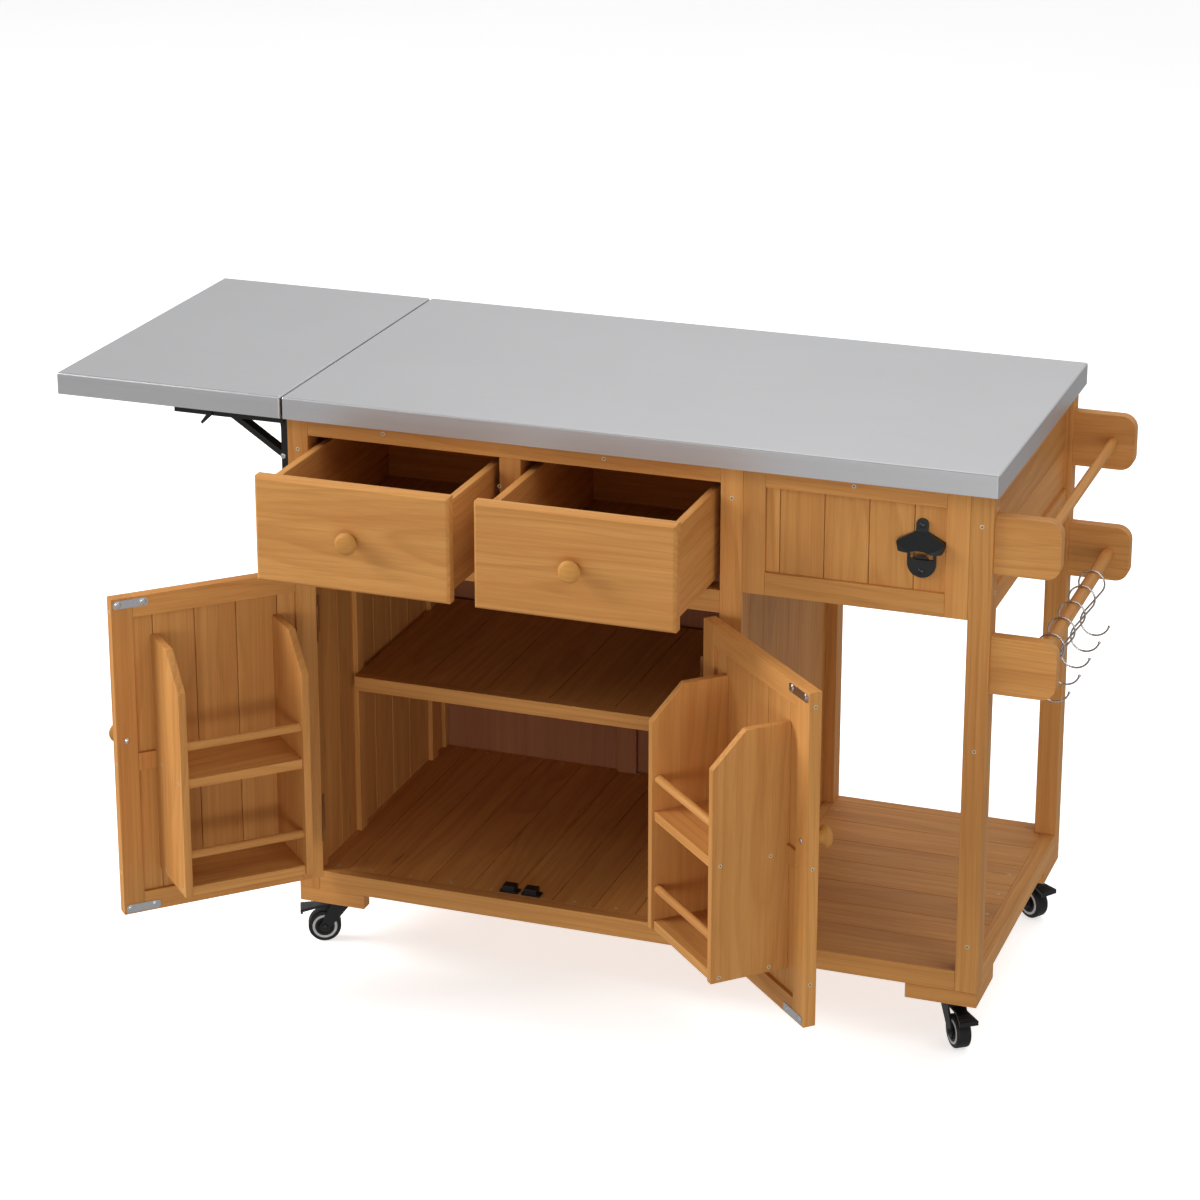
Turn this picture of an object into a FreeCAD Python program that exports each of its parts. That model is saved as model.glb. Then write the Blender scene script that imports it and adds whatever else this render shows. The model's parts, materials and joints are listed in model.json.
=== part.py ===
"""Outdoor kitchen cart: a wooden rolling island with a steel worktop and a drop leaf.

Millimetres, +X to the right along the front, +Y to the back, +Z up. The origin is
on the floor, in the middle of the box around the cart as it stands: leaf raised,
drawers pulled part way out and both doors open.
"""
import FreeCAD, Part
import math
import os
import re

import Sketcher
from FreeCAD import Placement, Rotation, Vector

# Driving dimensions, in millimetres, degrees and plain counts.
SIZES = {
    # steel worktop and drop leaf
    "worktop_length": 1100, "worktop_depth": 590, "worktop_thickness": 34, "overall_height": 914,
    "leaf_length": 376, "leaf_gap": 3, "skin": 1.2, "skin_round": 3,
    # timber frame
    "overhang": 17, "overhang_right": 9, "post": 34, "cabinet_length": 687, "rail": 32,
    "top_rail_height": 28, "board": 10, "wall_inset": 18, "groove": 0.8, "panel_inset": 6,
    "bearer": 22, "ply": 5, "stile_depth": 10,
    # feet and casters
    "caster_height": 80, "foot_height": 23, "foot_length": 109, "foot_side": 105, "foot_board": 22,
    "caster_plate": 48, "plate_thickness": 3, "wheel_radius": 26, "wheel_width": 22, "axle_radius": 4,
    "trail": 24, "fork_cheek": 3, "head_radius": 17, "head_height": 9, "race_height": 6, "race_radius": 14,
    "kingpin_radius": 5, "running_gap": 0.3, "fit_gap": 0.05, "pedal_width": 18, "pedal_reach": 62,
    "pedal_lip": 11, "pedal_sheet": 4, "pedal_flare": 30, "pedal_pin": 1.5, "pedal_barrel": 2.7,
    "tyre_round": 3, "hub_radius": 12, "hub_recess": 2, "cheek_share": 0.9, "cheek_round": 9,
    # drawers
    "drawer_opening": 166, "drawer_rail_height": 35, "front_gap": 2, "front_thickness": 20,
    "drawer_out": 195, "side_space": 10, "box_side": 12, "box_height": 138, "box_length": 440,
    "box_lift": 10, "box_bottom": 6, "bottom_lift": 8, "channel_width": 32, "channel_height": 10,
    "channel_wall": 1.5, "channel_set": 24, "channel_play": 2, "front_chamfer": 4,
    # doors and their racks
    "door_open": 135, "door_thickness": 20, "hinge_side_gap": 2, "meeting_gap": 3, "door_stile": 33,
    "hinge_lead": 3.8, "mid_rail_height": 28, "mid_rail_share": 0.455, "door_board": 8,
    "door_board_set": 6, "door_first_share": 0.113, "door_pitch_share": 0.255, "rack_start_share": 0.18,
    "rack_width_share": 0.632, "rack_panel": 12, "rack_front": 137, "rack_chamfer": 52, "rack_lift": 66,
    "rack_shelf": 15, "rack_step_share": 0.458, "rack_rail_radius": 6.5, "rack_rail_lift": 65,
    "rack_rail_set": 4,
    "knuckle_radius": 3.4, "hinge_leaf": 0.8, "hinge_height": 60, "hinge_width": 24, "pin_radius": 1.5,
    "hinge_inset": 60, "strike_length": 54, "strike_height": 13, "strike_thickness": 1.5, "strike_set": 3,
    "strike_round": 4, "knob_radius": 17, "knob_neck": 9, "knob_depth": 26, "knob_crown": 9,
    "knob_rise": 5, "knob_round": 2,
    # cabinet inside
    "floor_board": 8, "floor_first": 40, "shelf_lift": 274, "shelf_board": 12, "shelf_nosing": 24,
    "shelf_nosing_depth": 18, "shelf_front": 143, "shelf_play": 1, "batten_set": 66, "cleat": 8,
    "cleat_width": 23, "cleat_back": 60, "shelf_pin_radius": 3, "shelf_pin_length": 10,
    "catch_length": 30, "catch_depth": 16, "catch_height": 12, "catch_base": 3, "catch_flange": 5,
    "catch_gap": 3, "catch_set": 24,
    # bay apron, towel rack, hooks and bottle opener
    "apron_height": 193, "apron_rail": 35, "apron_stile": 34, "apron_first_share": 0.078,
    "apron_pitch_share": 0.248,
    "arm_length": 96, "arm_height": 87, "arm_board": 20, "arm_set": 7, "arm_round": 22, "arm_drop": 34,
    "arm_pitch": 182, "bar_reach": 62, "bar_upper_radius": 8, "bar_lower_radius": 10,
    "hook_wire": 1.5, "hook_gap": 0.4, "hook_crook": 20, "hook_bowl": 22.5, "hook_height": 107,
    "hook_lean": 8, "hook_ball": 2.3, "hook_tip_angle": 200, "hook_lip_angle": 345, "hook_first": 127,
    "hook_pitch": 71, "opener_centre": 987, "opener_plate": 4, "opener_tab": 9, "opener_length": 89,
    "opener_tongue": 21, "opener_rise": 25, "opener_shoulder": 11, "opener_shoulder_half": 35,
    "opener_lip": 3, "opener_lip_half": 32, "opener_depth": 24, "opener_bow": 72, "opener_wall": 3.5,
    "opener_arch": 40, "opener_arch_rise": 4, "opener_window": 17, "opener_window_top": 8,
    "opener_sill": 17, "opener_tooth": 10, "opener_tooth_rise": 8, "opener_reach": 9,
    # folding brackets of the leaf
    "bracket_set": 12, "arm_channel": 30, "arm_channel_depth": 12, "arm_channel_length": 182, "sheet": 2,
    "pivot_out": 8, "pivot_down": 7, "pivot_end": 3.5, "wall_channel": 24, "wall_channel_depth": 10,
    "wall_channel_length": 210, "knuckle_fall": 14, "strut_fall": 58, "strut_out": 7.6, "strut_reach": 88,
    "strut_width": 19, "strut_thickness": 9, "strut_end": 2.6, "bracket_pin": 2, "lever_set": 116,
    "lever_length": 24, "lever_height": 8, "lever_thickness": 3, "lever_angle": 48, "lever_gap": 0.3,
    "lever_rivet": 3.8,
}

# Places worked out from the driving dimensions.
PLACES = {
    "frame_length": "worktop_length - overhang_right",
    "frame_depth": "worktop_depth - 2 * overhang",
    "total_length": "leaf_length + leaf_gap + frame_length + arm_length",
    "x_left": "leaf_length + leaf_gap - total_length / 2",
    "x_right": "x_left + frame_length",
    "x_mid": "x_left + cabinet_length",
    "x_bay": "x_mid + post",
    "opening_width": "cabinet_length - post",
    "door_width": "(opening_width - 2 * hinge_side_gap - meeting_gap) / 2",
    "door_edge": "hinge_side_gap / 2",
    "rack_start": "door_width * rack_start_share",
    "rack_width": "door_width * rack_width_share",
    "rack_end": "door_edge + rack_start + rack_width",
    "rack_nose": "hinge_lead + rack_front",
    "door_reach": "hinge_lead + rack_end * sin(door_open) - rack_nose * cos(door_open)",
    "total_depth": "door_reach + frame_depth + overhang",
    "y_front": "door_reach - total_depth / 2",
    "y_back": "y_front + frame_depth",
    "z_under": "overall_height - worktop_thickness",
    "z_base": "caster_height + foot_height",
    "z_base_top": "z_base + rail",
    "z_top_rail": "z_under - top_rail_height",
    "z_drawer": "z_top_rail - drawer_opening",
    "z_door_top": "z_drawer - drawer_rail_height",
    "door_height": "z_door_top - z_base_top - 2 * front_gap",
    "door_foot": "z_base_top + front_gap",
    "mid_rail_lift": "door_height * mid_rail_share",
    "rack_height": "door_height - 2 * rack_lift",
    "rack_shelf_step": "rack_height * rack_step_share",
    "shelf_height": "z_base_top + shelf_lift",
    "arm_upper_top": "z_under - arm_drop",
    "arm_lower_top": "arm_upper_top - arm_pitch",
    "opener_height": "(z_top_rail + z_under - apron_height + apron_rail) / 2",
    "drawer_width": "(opening_width - post) / 2",
    "wall_face": "wall_inset + board",
    "pivot_x": "x_left - pivot_out",
    "pivot_z": "z_under - pivot_down",
    "strut_run": "strut_reach + pivot_out - strut_out",
    "strut_length": "sqrt(strut_fall * strut_fall + strut_run * strut_run)",
    "wheel_z": "wheel_radius",
    "head_z": "caster_height - plate_thickness - race_height - running_gap",
    "pedal_top": "head_z - head_height - running_gap",
}

# Directions of the four casters as they stand, seen from above, counted from +X.
CASTERS = {
    "front_left": ("left", "front", 205),
    "front_right": ("right", "front", -53),
    "rear_left": ("left", "back", 150),
    "rear_right": ("right", "back", -35),
}

doc = FreeCAD.newDocument("kitchen_cart")
NODES = []


def fill_sheet(name, cells):
    """Make a spreadsheet with one aliased cell for each entry."""
    sheet = doc.addObject("Spreadsheet::Sheet", name)
    for line, (alias, content) in enumerate(cells.items(), start=1):
        sheet.set(f"A{line}", alias)
        sheet.set(f"B{line}", str(content))
        sheet.setAlias(f"B{line}", alias)


def ex(text):
    """Point the plain names in a formula at their cells."""
    def cell(match):
        word = match.group(0)
        if word in SIZES:
            return f"Sizes.{word}"
        return f"Places.{word}" if word in PLACES else word
    return re.sub(r"[A-Za-z_]+", cell, text)


fill_sheet("Sizes", SIZES)
fill_sheet("Places", {alias: "=" + ex(formula) for alias, formula in PLACES.items()})
doc.recompute()


def value(text):
    """The number that a formula of plain names gives now."""
    return float(doc.getObject("Sizes").evalExpression(ex(text)))


def bind(thing, **formulas):
    """Bind properties of an object to formulas, with __ standing for a dot."""
    for key, formula in formulas.items():
        thing.setExpression(key.replace("__", "."), ex(formula))


def put(thing, at):
    bind(thing, Placement__Base__x=at[0], Placement__Base__y=at[1], Placement__Base__z=at[2])
    return thing


def box(name, at, size):
    """A board with square edges, from its low corner."""
    thing = doc.addObject("Part::Box", name)
    bind(thing, Length=size[0], Width=size[1], Height=size[2])
    return put(thing, at)


def rod(name, at, radius, length, direction="Z"):
    """A round bar along X, Y or Z from the middle of its first end."""
    thing = doc.addObject("Part::Cylinder", name)
    bind(thing, Radius=radius, Height=length)
    thing.Placement = Placement(Vector(), TURNS[direction])
    return put(thing, at)


TURNS = {
    "Z": Rotation(),
    "X": Rotation(Vector(0, 1, 0), 90),
    "Y": Rotation(Vector(1, 0, 0), -90),
}
PLANES = {
    "XY": Rotation(),
    "XZ": Rotation(Vector(1, 0, 0), 90),
    "YZ": Rotation(Vector(1, 1, 1), 120),
}


def outline(name, plane, points, at=("0", "0", "0")):
    """A closed sketch whose corners are held by formulas."""
    sketch = doc.addObject("Sketcher::SketchObject", name)
    sketch.Placement = Placement(Vector(), PLANES[plane])
    put(sketch, at)
    corners = [Vector(value(across), value(along), 0) for across, along in points]
    count = len(corners)
    for index in range(count):
        sketch.addGeometry(Part.LineSegment(corners[index], corners[(index + 1) % count]))
    for index in range(count):
        sketch.addConstraint(Sketcher.Constraint("Coincident", index, 2, (index + 1) % count, 1))
    for index, (across, along) in enumerate(points):
        corner = corners[index]
        for kind, length, formula in (("DistanceX", corner.x, across), ("DistanceY", corner.y, along)):
            held = sketch.addConstraint(Sketcher.Constraint(kind, -1, 1, index, 1, length))
            sketch.setExpression(f"Constraints[{held}]", ex(formula))
    return sketch


def plate(name, plane, points, thickness, at=("0", "0", "0")):
    """A flat piece of any outline, thickened along the plane's normal (-Y for XZ)."""
    thing = doc.addObject("Part::Extrusion", name)
    thing.Base = outline(name + "_outline", plane, points, at)
    thing.DirMode = "Normal"
    thing.Solid = True
    bind(thing, LengthFwd=thickness)
    return thing


def turned(name, points):
    """A turned piece about Z from a half profile of radius and height."""
    thing = doc.addObject("Part::Revolution", name)
    thing.Source = outline(name + "_profile", "XZ", points)
    thing.Axis = Vector(0, 0, 1)
    thing.Angle = 360
    thing.Solid = True
    return thing


def cut(name, base, tool):
    thing = doc.addObject("Part::Cut", name)
    thing.Base = base
    thing.Tool = tool
    return thing


def fuse(name, members):
    thing = doc.addObject("Part::MultiFuse", name)
    thing.Shapes = members
    return thing


def common(name, members):
    """What several pieces share."""
    thing = doc.addObject("Part::MultiCommon", name)
    thing.Shapes = members
    return thing


def rounded(name, base, radius, chosen):
    """A piece with the chosen ones of its edges rounded."""
    doc.recompute()
    thing = doc.addObject("Part::Fillet", name)
    thing.Base = base
    thing.Edges = [(index, value(radius), value(radius))
                   for index, edge in enumerate(base.Shape.Edges, start=1) if chosen(edge)]
    return thing


def group(name, members, at=("0", "0", "0"), turn=None, about=Vector(0, 0, 1)):
    """Pieces kept as separate solids, moved and turned together."""
    thing = doc.addObject("Part::Compound", name)
    thing.Links = members
    thing.Placement = Placement(Vector(), Rotation(about, 1) if turn else Rotation())
    if turn:
        bind(thing, Placement__Rotation__Angle=turn)
    return put(thing, at)


def node(label, members, at=("0", "0", "0"), turn=None, about=Vector(0, 0, 1)):
    """One named sub-part of the cart."""
    thing = group(label, members, at, turn, about)
    thing.Label = label
    NODES.append(thing)
    return thing


def row(name, count, start, span, board_at):
    """Boards side by side over a span; board_at turns a start and a width into a board."""
    width = f"((({span}) + groove) / {count} - groove)"
    return [board_at(f"{name}_{index + 1}", f"({start}) + {index} * ({width} + groove)", width)
            for index in range(count)]


def uneven(name, start, room, kind, board_at):
    """Five boards over a room: a narrow first one, three at a pitch and the rest."""
    seams = [f"{start} + {room} * ({kind}_first_share + {step} * {kind}_pitch_share)" for step in range(4)]
    edges = [start] + seams + [f"{start} + {room}"]
    last = len(edges) - 2
    boards = []
    for index in range(last + 1):
        gap = "0" if index == last else "groove"
        width = f"({edges[index + 1]} - ({edges[index]}) - {gap})"
        boards.append(board_at(f"{name}_{index + 1}", edges[index], width))
    return boards


def worktops():
    """Folded steel trays over wooden cores: the fixed top and the drop leaf."""
    for name, start, length in (("worktop", "x_left", "worktop_length"),
                                ("leaf", "x_left - leaf_gap - leaf_length", "leaf_length")):
        front = "y_front - overhang"
        tray = box(name + "_tray", (start, front, "z_under"), (length, "worktop_depth", "worktop_thickness"))
        low = value("z_under + worktop_thickness / 4")
        eased = rounded(name + "_eased", tray, "skin_round", lambda edge: edge.CenterOfMass.z > low)
        inner_at = (f"{start} + skin", f"{front} + skin", "z_under")
        inner_size = (f"{length} - 2 * skin", "worktop_depth - 2 * skin", "worktop_thickness - skin")
        node(name + "_skin", [cut(name + "_folded", eased, box(name + "_hollow", inner_at, inner_size))])
        node(name + "_core", [box(name + "_board", inner_at, inner_size)])


def frame():
    """Posts, base frame, top rails and drawer frame."""
    columns = {"left": "x_left", "mid": "x_mid", "right": "x_right - post"}
    ranks = {"front": "y_front", "rear": "y_back - post"}
    posts = []
    for rank, deep in ranks.items():
        for column, across in columns.items():
            foot = "z_base_top" if column == "mid" else "z_base"
            posts.append(box(f"post_{rank}_{column}", (across, deep, foot),
                             ("post", "post", f"z_under - {foot}")))
    node("posts", posts)

    inner_x, inner_y = "x_left + post", "y_front + post"
    long, deep = "frame_length - 2 * post", "frame_depth - 2 * post"
    rails = [
        box("base_front", (inner_x, "y_front", "z_base"), (long, "bearer", "rail")),
        box("base_rear", (inner_x, "y_back - bearer", "z_base"), (long, "bearer", "rail")),
        box("base_left", ("x_left", inner_y, "z_base"), ("post", deep, "rail")),
        box("base_right", ("x_right - bearer", inner_y, "z_base"), ("bearer", deep, "rail")),
        box("base_middle", ("x_mid", "y_front + bearer", "z_base"),
            ("post", "frame_depth - 2 * bearer", "rail")),
    ]
    for index, deep_at in enumerate(("y_front + bearer", "y_back - 2 * bearer")):
        rails.append(box(f"cabinet_bearer_{index + 1}",
                         (inner_x, deep_at, "z_base_top - floor_board - bearer"),
                         ("opening_width", "bearer", "bearer")))
    for index, across in enumerate(("x_bay", "x_right - 2 * bearer")):
        rails.append(box(f"bay_bearer_{index + 1}", (across, inner_y, "z_base_top - board - bearer"),
                         ("bearer", deep, "bearer")))
    node("base_rails", rails)

    middle = "x_left + post + drawer_width"
    top_rail = ("opening_width", "bearer", "top_rail_height")
    node("drawer_frame", [
        box("rail_front", (inner_x, "y_front", "z_top_rail"), top_rail),
        box("rail_rear", (inner_x, "y_back - bearer", "z_top_rail"), top_rail),
        box("rail_left", ("x_left", inner_y, "z_top_rail"), ("bearer", deep, "top_rail_height")),
        box("drawer_post", (middle, "y_front", "z_drawer"), ("post", "post", "drawer_opening")),
        box("drawer_rail", (inner_x, "y_front", "z_door_top"),
            ("opening_width", "post", "drawer_rail_height")),
        box("drawer_rail_rear", (inner_x, "y_back - 2 * bearer", "z_door_top"),
            ("opening_width", "bearer", "drawer_rail_height")),
    ])


def walls():
    """Tongued boards in the side frames, the plywood back and the two floors."""
    inner_y, deep = "y_front + post", "frame_depth - 2 * post"
    boards = []
    for name, across, top in (("left_wall", "x_left + wall_inset", "z_top_rail"),
                              ("bay_wall", "x_mid + post - wall_face", "z_under")):
        boards += row(name, 7, inner_y, deep, lambda label, start, width, across=across, top=top: box(
            label, (across, start, "z_base_top"), ("board", width, f"{top} - z_base_top")))
    node("side_panels", boards)

    back = "y_back - bearer"
    node("back_panel", [
        box("back_ply", ("x_left + post", back, "z_base_top"),
            ("opening_width", "ply", "z_top_rail - z_base_top")),
        box("back_stile", ("x_left + post + drawer_width", f"{back} - stile_depth", "z_base_top"),
            ("post", "stile_depth", "z_door_top - z_base_top")),
    ])
    floors()


def floors():
    """Board floors set flush in the base frame: front to back in the cabinet, across in the bay."""
    start, deep = "y_front + bearer", "frame_depth - 2 * bearer"

    def cabinet_board(label, across, width):
        return box(label, (across, start, "z_base_top - floor_board"), (width, deep, "floor_board"))

    def bay_board(label, along, width):
        return box(label, ("x_bay", along, "z_base_top - board"),
                   ("x_right - bearer - x_bay", width, "board"))

    def notched(label, plank, along):
        corner = box(f"{label}_corner", ("x_right - post - groove", along, "z_base_top - board"),
                     ("post + groove", "post + groove", "board"))
        return cut(label, plank, corner)

    inner_x = "x_left + post"
    narrow = cabinet_board("floor_first_board", inner_x, "floor_first")
    node("cabinet_floor", [narrow] + row(
        "floor", 9, f"{inner_x} + floor_first + groove", "opening_width - floor_first - groove",
        cabinet_board))
    planks = row("bay_board", 7, start, deep, bay_board)
    first = notched("bay_board_front", planks[0], "y_front")
    last = notched("bay_board_rear", planks[-1], "y_back - post - groove")
    node("bay_floor", [first] + planks[1:-1] + [last])


def shelf():
    """The loose shelf on pins, and the cleats that hold the pins."""
    front, back = "y_front + shelf_front", "y_back - bearer - stile_depth - shelf_play"
    start = "x_left + wall_face + cleat + shelf_play"
    span = "cabinet_length + post - 2 * (wall_face + cleat + shelf_play)"
    lying = "shelf_height - shelf_board"
    planks = row("shelf_plank", 6, start, span, lambda label, across, width: box(
        label, (across, f"{front} + shelf_nosing_depth", lying),
        (width, f"{back} - ({front}) - shelf_nosing_depth", "shelf_board")))
    nosing = box("shelf_nose", (start, front, "shelf_height - shelf_nosing"),
                 (span, "shelf_nosing_depth", "shelf_nosing"))
    batten_starts = (f"{front} + shelf_nosing_depth + batten_set", f"{back} - bearer")
    battens = [box(f"shelf_batten_{index + 1}", (start, deep, f"{lying} - board"), (span, "bearer", "board"))
               for index, deep in enumerate(batten_starts)]
    node("shelf", planks + [nosing] + battens)

    cleats = []
    for rank, deep in (("front", f"{front} + shelf_nosing_depth"), ("rear", "y_back - post - cleat_back")):
        right = "x_mid + post - wall_face - cleat"
        for side, across, pin_at in (("left", "x_left + wall_face", "x_left + wall_face + cleat"),
                                     ("right", right, f"{right} - shelf_pin_length")):
            strip = box(f"cleat_{rank}_{side}", (across, deep, "z_base_top"),
                        ("cleat", "cleat_width", "z_door_top - z_base_top"))
            pin = rod(f"shelf_pin_{rank}_{side}",
                      (pin_at, f"{deep} + cleat_width / 2", f"{lying} - shelf_pin_radius"),
                      "shelf_pin_radius", "shelf_pin_length", "X")
            cleats.append(fuse(f"cleat_and_pin_{rank}_{side}", [strip, pin]))
    node("shelf_cleats", cleats)


def aprons():
    """Framed panels round the top of the open bay."""
    pieces = []
    low = "z_under - apron_height"
    wide = "x_right - post - x_bay"
    panel_low, panel_tall = f"{low} + apron_rail", "apron_height - apron_rail - top_rail_height"
    for rank, face, board_face in (("front", "y_front", "y_front + panel_inset"),
                                   ("rear", "y_back - bearer", "y_back - panel_inset - board")):
        start, room = "x_bay + apron_stile", f"({wide} - 2 * apron_stile)"
        stile = ("apron_stile", "bearer", "apron_height")
        pieces += [
            box(f"apron_left_{rank}", ("x_bay", face, low), stile),
            box(f"apron_right_{rank}", ("x_right - post - apron_stile", face, low), stile),
            box(f"apron_top_{rank}", (start, face, "z_top_rail"), (room, "bearer", "top_rail_height")),
            box(f"apron_low_{rank}", (start, face, low), (room, "bearer", "apron_rail")),
        ]
        pieces += uneven(
            f"apron_board_{rank}", start, room, "apron",
            lambda label, across, width, deep=board_face: box(
                label, (across, deep, panel_low), (width, "board", panel_tall)))
    inner_y, deep = "y_front + post", "frame_depth - 2 * post"
    side = "x_right - bearer - panel_inset"
    pieces += [
        box("apron_top_side", (side, inner_y, "z_top_rail"), ("bearer", deep, "top_rail_height")),
        box("apron_low_side", (side, inner_y, low), ("bearer", deep, "apron_rail")),
    ]
    pieces += row("apron_side_board", 2, panel_low, panel_tall, lambda label, start, width: box(
        label, ("x_right - 2 * panel_inset - board", inner_y, start), ("board", deep, width)))
    node("bay_aprons", pieces)


def feet():
    """Corner feet: two skirt boards and a block for each caster, with its top plate."""
    blocks, plates = [], []
    for corner, (side, rank, _) in CASTERS.items():
        left, front = side == "left", rank == "front"
        x_long = "x_left" if left else "x_right - foot_length"
        x_short = "x_left" if left else "x_right - foot_board"
        x_block = "x_left + foot_board" if left else "x_right - foot_board - caster_plate"
        y_long = "y_front" if front else "y_back - foot_board"
        y_short = "y_front + foot_board" if front else "y_back - foot_side"
        y_block = "y_front + foot_board" if front else "y_back - foot_board - caster_plate"
        blocks += [
            box(f"skirt_long_{corner}", (x_long, y_long, "caster_height"),
                ("foot_length", "foot_board", "foot_height")),
            box(f"skirt_side_{corner}", (x_short, y_short, "caster_height"),
                ("foot_board", "foot_side - foot_board", "foot_height")),
            box(f"caster_block_{corner}", (x_block, y_block, "caster_height"),
                ("caster_plate", "caster_plate", "foot_height")),
        ]
        centre = caster_centre(side, rank)
        flat = box(f"caster_flat_{corner}", (x_block, y_block, "caster_height - plate_thickness"),
                   ("caster_plate", "caster_plate", "plate_thickness"))
        race = rod(f"caster_race_{corner}", centre + ("head_z + running_gap",), "race_radius", "race_height")
        kingpin = rod(f"kingpin_{corner}", centre + ("head_z - head_height + running_gap",),
                      "kingpin_radius", "head_height")
        plates.append(fuse(f"caster_top_{corner}", [flat, race, kingpin]))
    node("feet", blocks)
    node("caster_plates", plates)


def caster_centre(side, rank):
    """Where a caster's swivel stands, as formulas in x and y."""
    reach = "(foot_board + caster_plate / 2)"
    across = f"x_left + {reach}" if side == "left" else f"x_right - {reach}"
    deep = f"y_front + {reach}" if rank == "front" else f"y_back - {reach}"
    return across, deep


def casters():
    """Swivel forks, wheels and brake pedals, each turned to its own direction."""
    for corner, (side, rank, heading) in CASTERS.items():
        at = caster_centre(side, rank) + ("0",)
        node(f"caster_fork_{corner}", [caster_fork(corner)], at, str(heading))
        lying = group(f"wheel_lying_{corner}", [caster_wheel(corner)], ("trail", "0", "wheel_z"), "90",
                      Vector(1, 0, 0))
        node(f"caster_wheel_{corner}", [lying], at, str(heading))
        node(f"brake_pedal_{corner}", [brake_pedal(corner)], at, str(heading))


def caster_fork(corner):
    """A fork with a round head, two cheeks, the axle and the pedal's pin."""
    inner = "(wheel_width / 2 + running_gap * 3)"
    outer = f"-{inner} - fork_cheek"
    wide = f"2 * ({inner} + fork_cheek)"
    low, half = "head_z - head_height", "head_radius * cheek_share"
    cheek = [(f"-{half}", "head_z"), (half, "head_z"), (half, low), ("trail + cheek_round", "wheel_z"),
             ("trail - cheek_round", "wheel_z"), (f"-{half}", low)]
    solids = [rod(f"fork_head_{corner}", ("0", "0", low), "head_radius", "head_height")]
    for name, start in (("near", outer), ("far", inner)):
        solids += [
            plate(f"fork_{name}_{corner}", "XZ", cheek, "fork_cheek", ("0", f"{start} + fork_cheek", "0")),
            rod(f"fork_end_{name}_{corner}", ("trail", start, "wheel_z"), "cheek_round", "fork_cheek", "Y"),
        ]
    pin_at = ("axle_radius", outer, "pedal_top - pedal_barrel")
    solids += [
        rod(f"axle_{corner}", ("trail", outer, "wheel_z"), "axle_radius", wide, "Y"),
        rod(f"pedal_pin_{corner}", pin_at, "pedal_pin", wide, "Y"),
    ]
    bore = rod(f"fork_bore_{corner}", ("0", "0", low), "kingpin_radius + fit_gap", "head_height")
    return cut(f"fork_body_{corner}", fuse(f"fork_solid_{corner}", solids), bore)


def caster_wheel(corner):
    """A wheel with rounded shoulders and a recess round its hub, on both sides."""
    half = "wheel_width / 2"
    near = [("axle_radius + fit_gap", f"{half} - hub_recess"), ("hub_radius", f"{half} - hub_recess"),
            ("hub_radius", half), ("wheel_radius - tyre_round", half),
            ("wheel_radius", f"{half} - tyre_round")]
    far = [(radius, f"-({height})") for radius, height in reversed(near)]
    return turned(f"wheel_turned_{corner}", near + far)


def brake_pedal(corner):
    """A bent tread that widens outside the fork, with a barrel on the fork's pin."""
    top, under, bend = "pedal_top", "pedal_top - pedal_sheet", "trail + cheek_round"
    tread = [("axle_radius", top), ("axle_radius", under), (bend, under),
             ("pedal_reach - pedal_sheet", f"{under} - axle_radius"),
             ("pedal_reach - pedal_sheet", f"{top} - pedal_lip"), ("pedal_reach", f"{top} - pedal_lip"),
             ("pedal_reach", f"{top} - axle_radius"), (bend, top)]
    plan = [("0", "-pedal_width / 2"), (bend, "-pedal_width / 2"), ("pedal_reach", "-pedal_flare / 2"),
            ("pedal_reach", "pedal_flare / 2"), (bend, "pedal_width / 2"), ("0", "pedal_width / 2")]
    sheet = common(f"pedal_sheet_{corner}", [
        plate(f"pedal_side_{corner}", "XZ", tread, "pedal_flare", ("0", "pedal_flare / 2", "0")),
        plate(f"pedal_plan_{corner}", "XY", plan, "pedal_top"),
    ])
    seat = ("axle_radius", "-pedal_width / 2", "pedal_top - pedal_barrel")
    barrel = rod(f"pedal_barrel_{corner}", seat, "pedal_barrel", "pedal_width", "Y")
    eye = rod(f"pedal_eye_{corner}", seat, "pedal_pin + fit_gap", "pedal_width", "Y")
    return cut(f"pedal_{corner}", fuse(f"pedal_solid_{corner}", [sheet, barrel]), eye)


def knob(name, at):
    """A turned wooden knob with a rounded crown, pointing out of a front (-Y)."""
    profile = [("0", "0"), ("knob_neck", "0"), ("knob_neck", "knob_depth / 2"),
               ("knob_radius", "knob_depth - knob_crown"), ("knob_radius", "knob_depth - knob_crown / 2"),
               ("knob_radius - knob_rise", "knob_depth"), ("0", "knob_depth")]
    wide = value("2 * knob_neck + knob_round")
    eased = rounded(name + "_eased", turned(name, profile), "knob_round",
                    lambda edge: edge.BoundBox.XLength > wide)
    return group(name + "_turn", [eased], at, "90", Vector(1, 0, 0))


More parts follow.
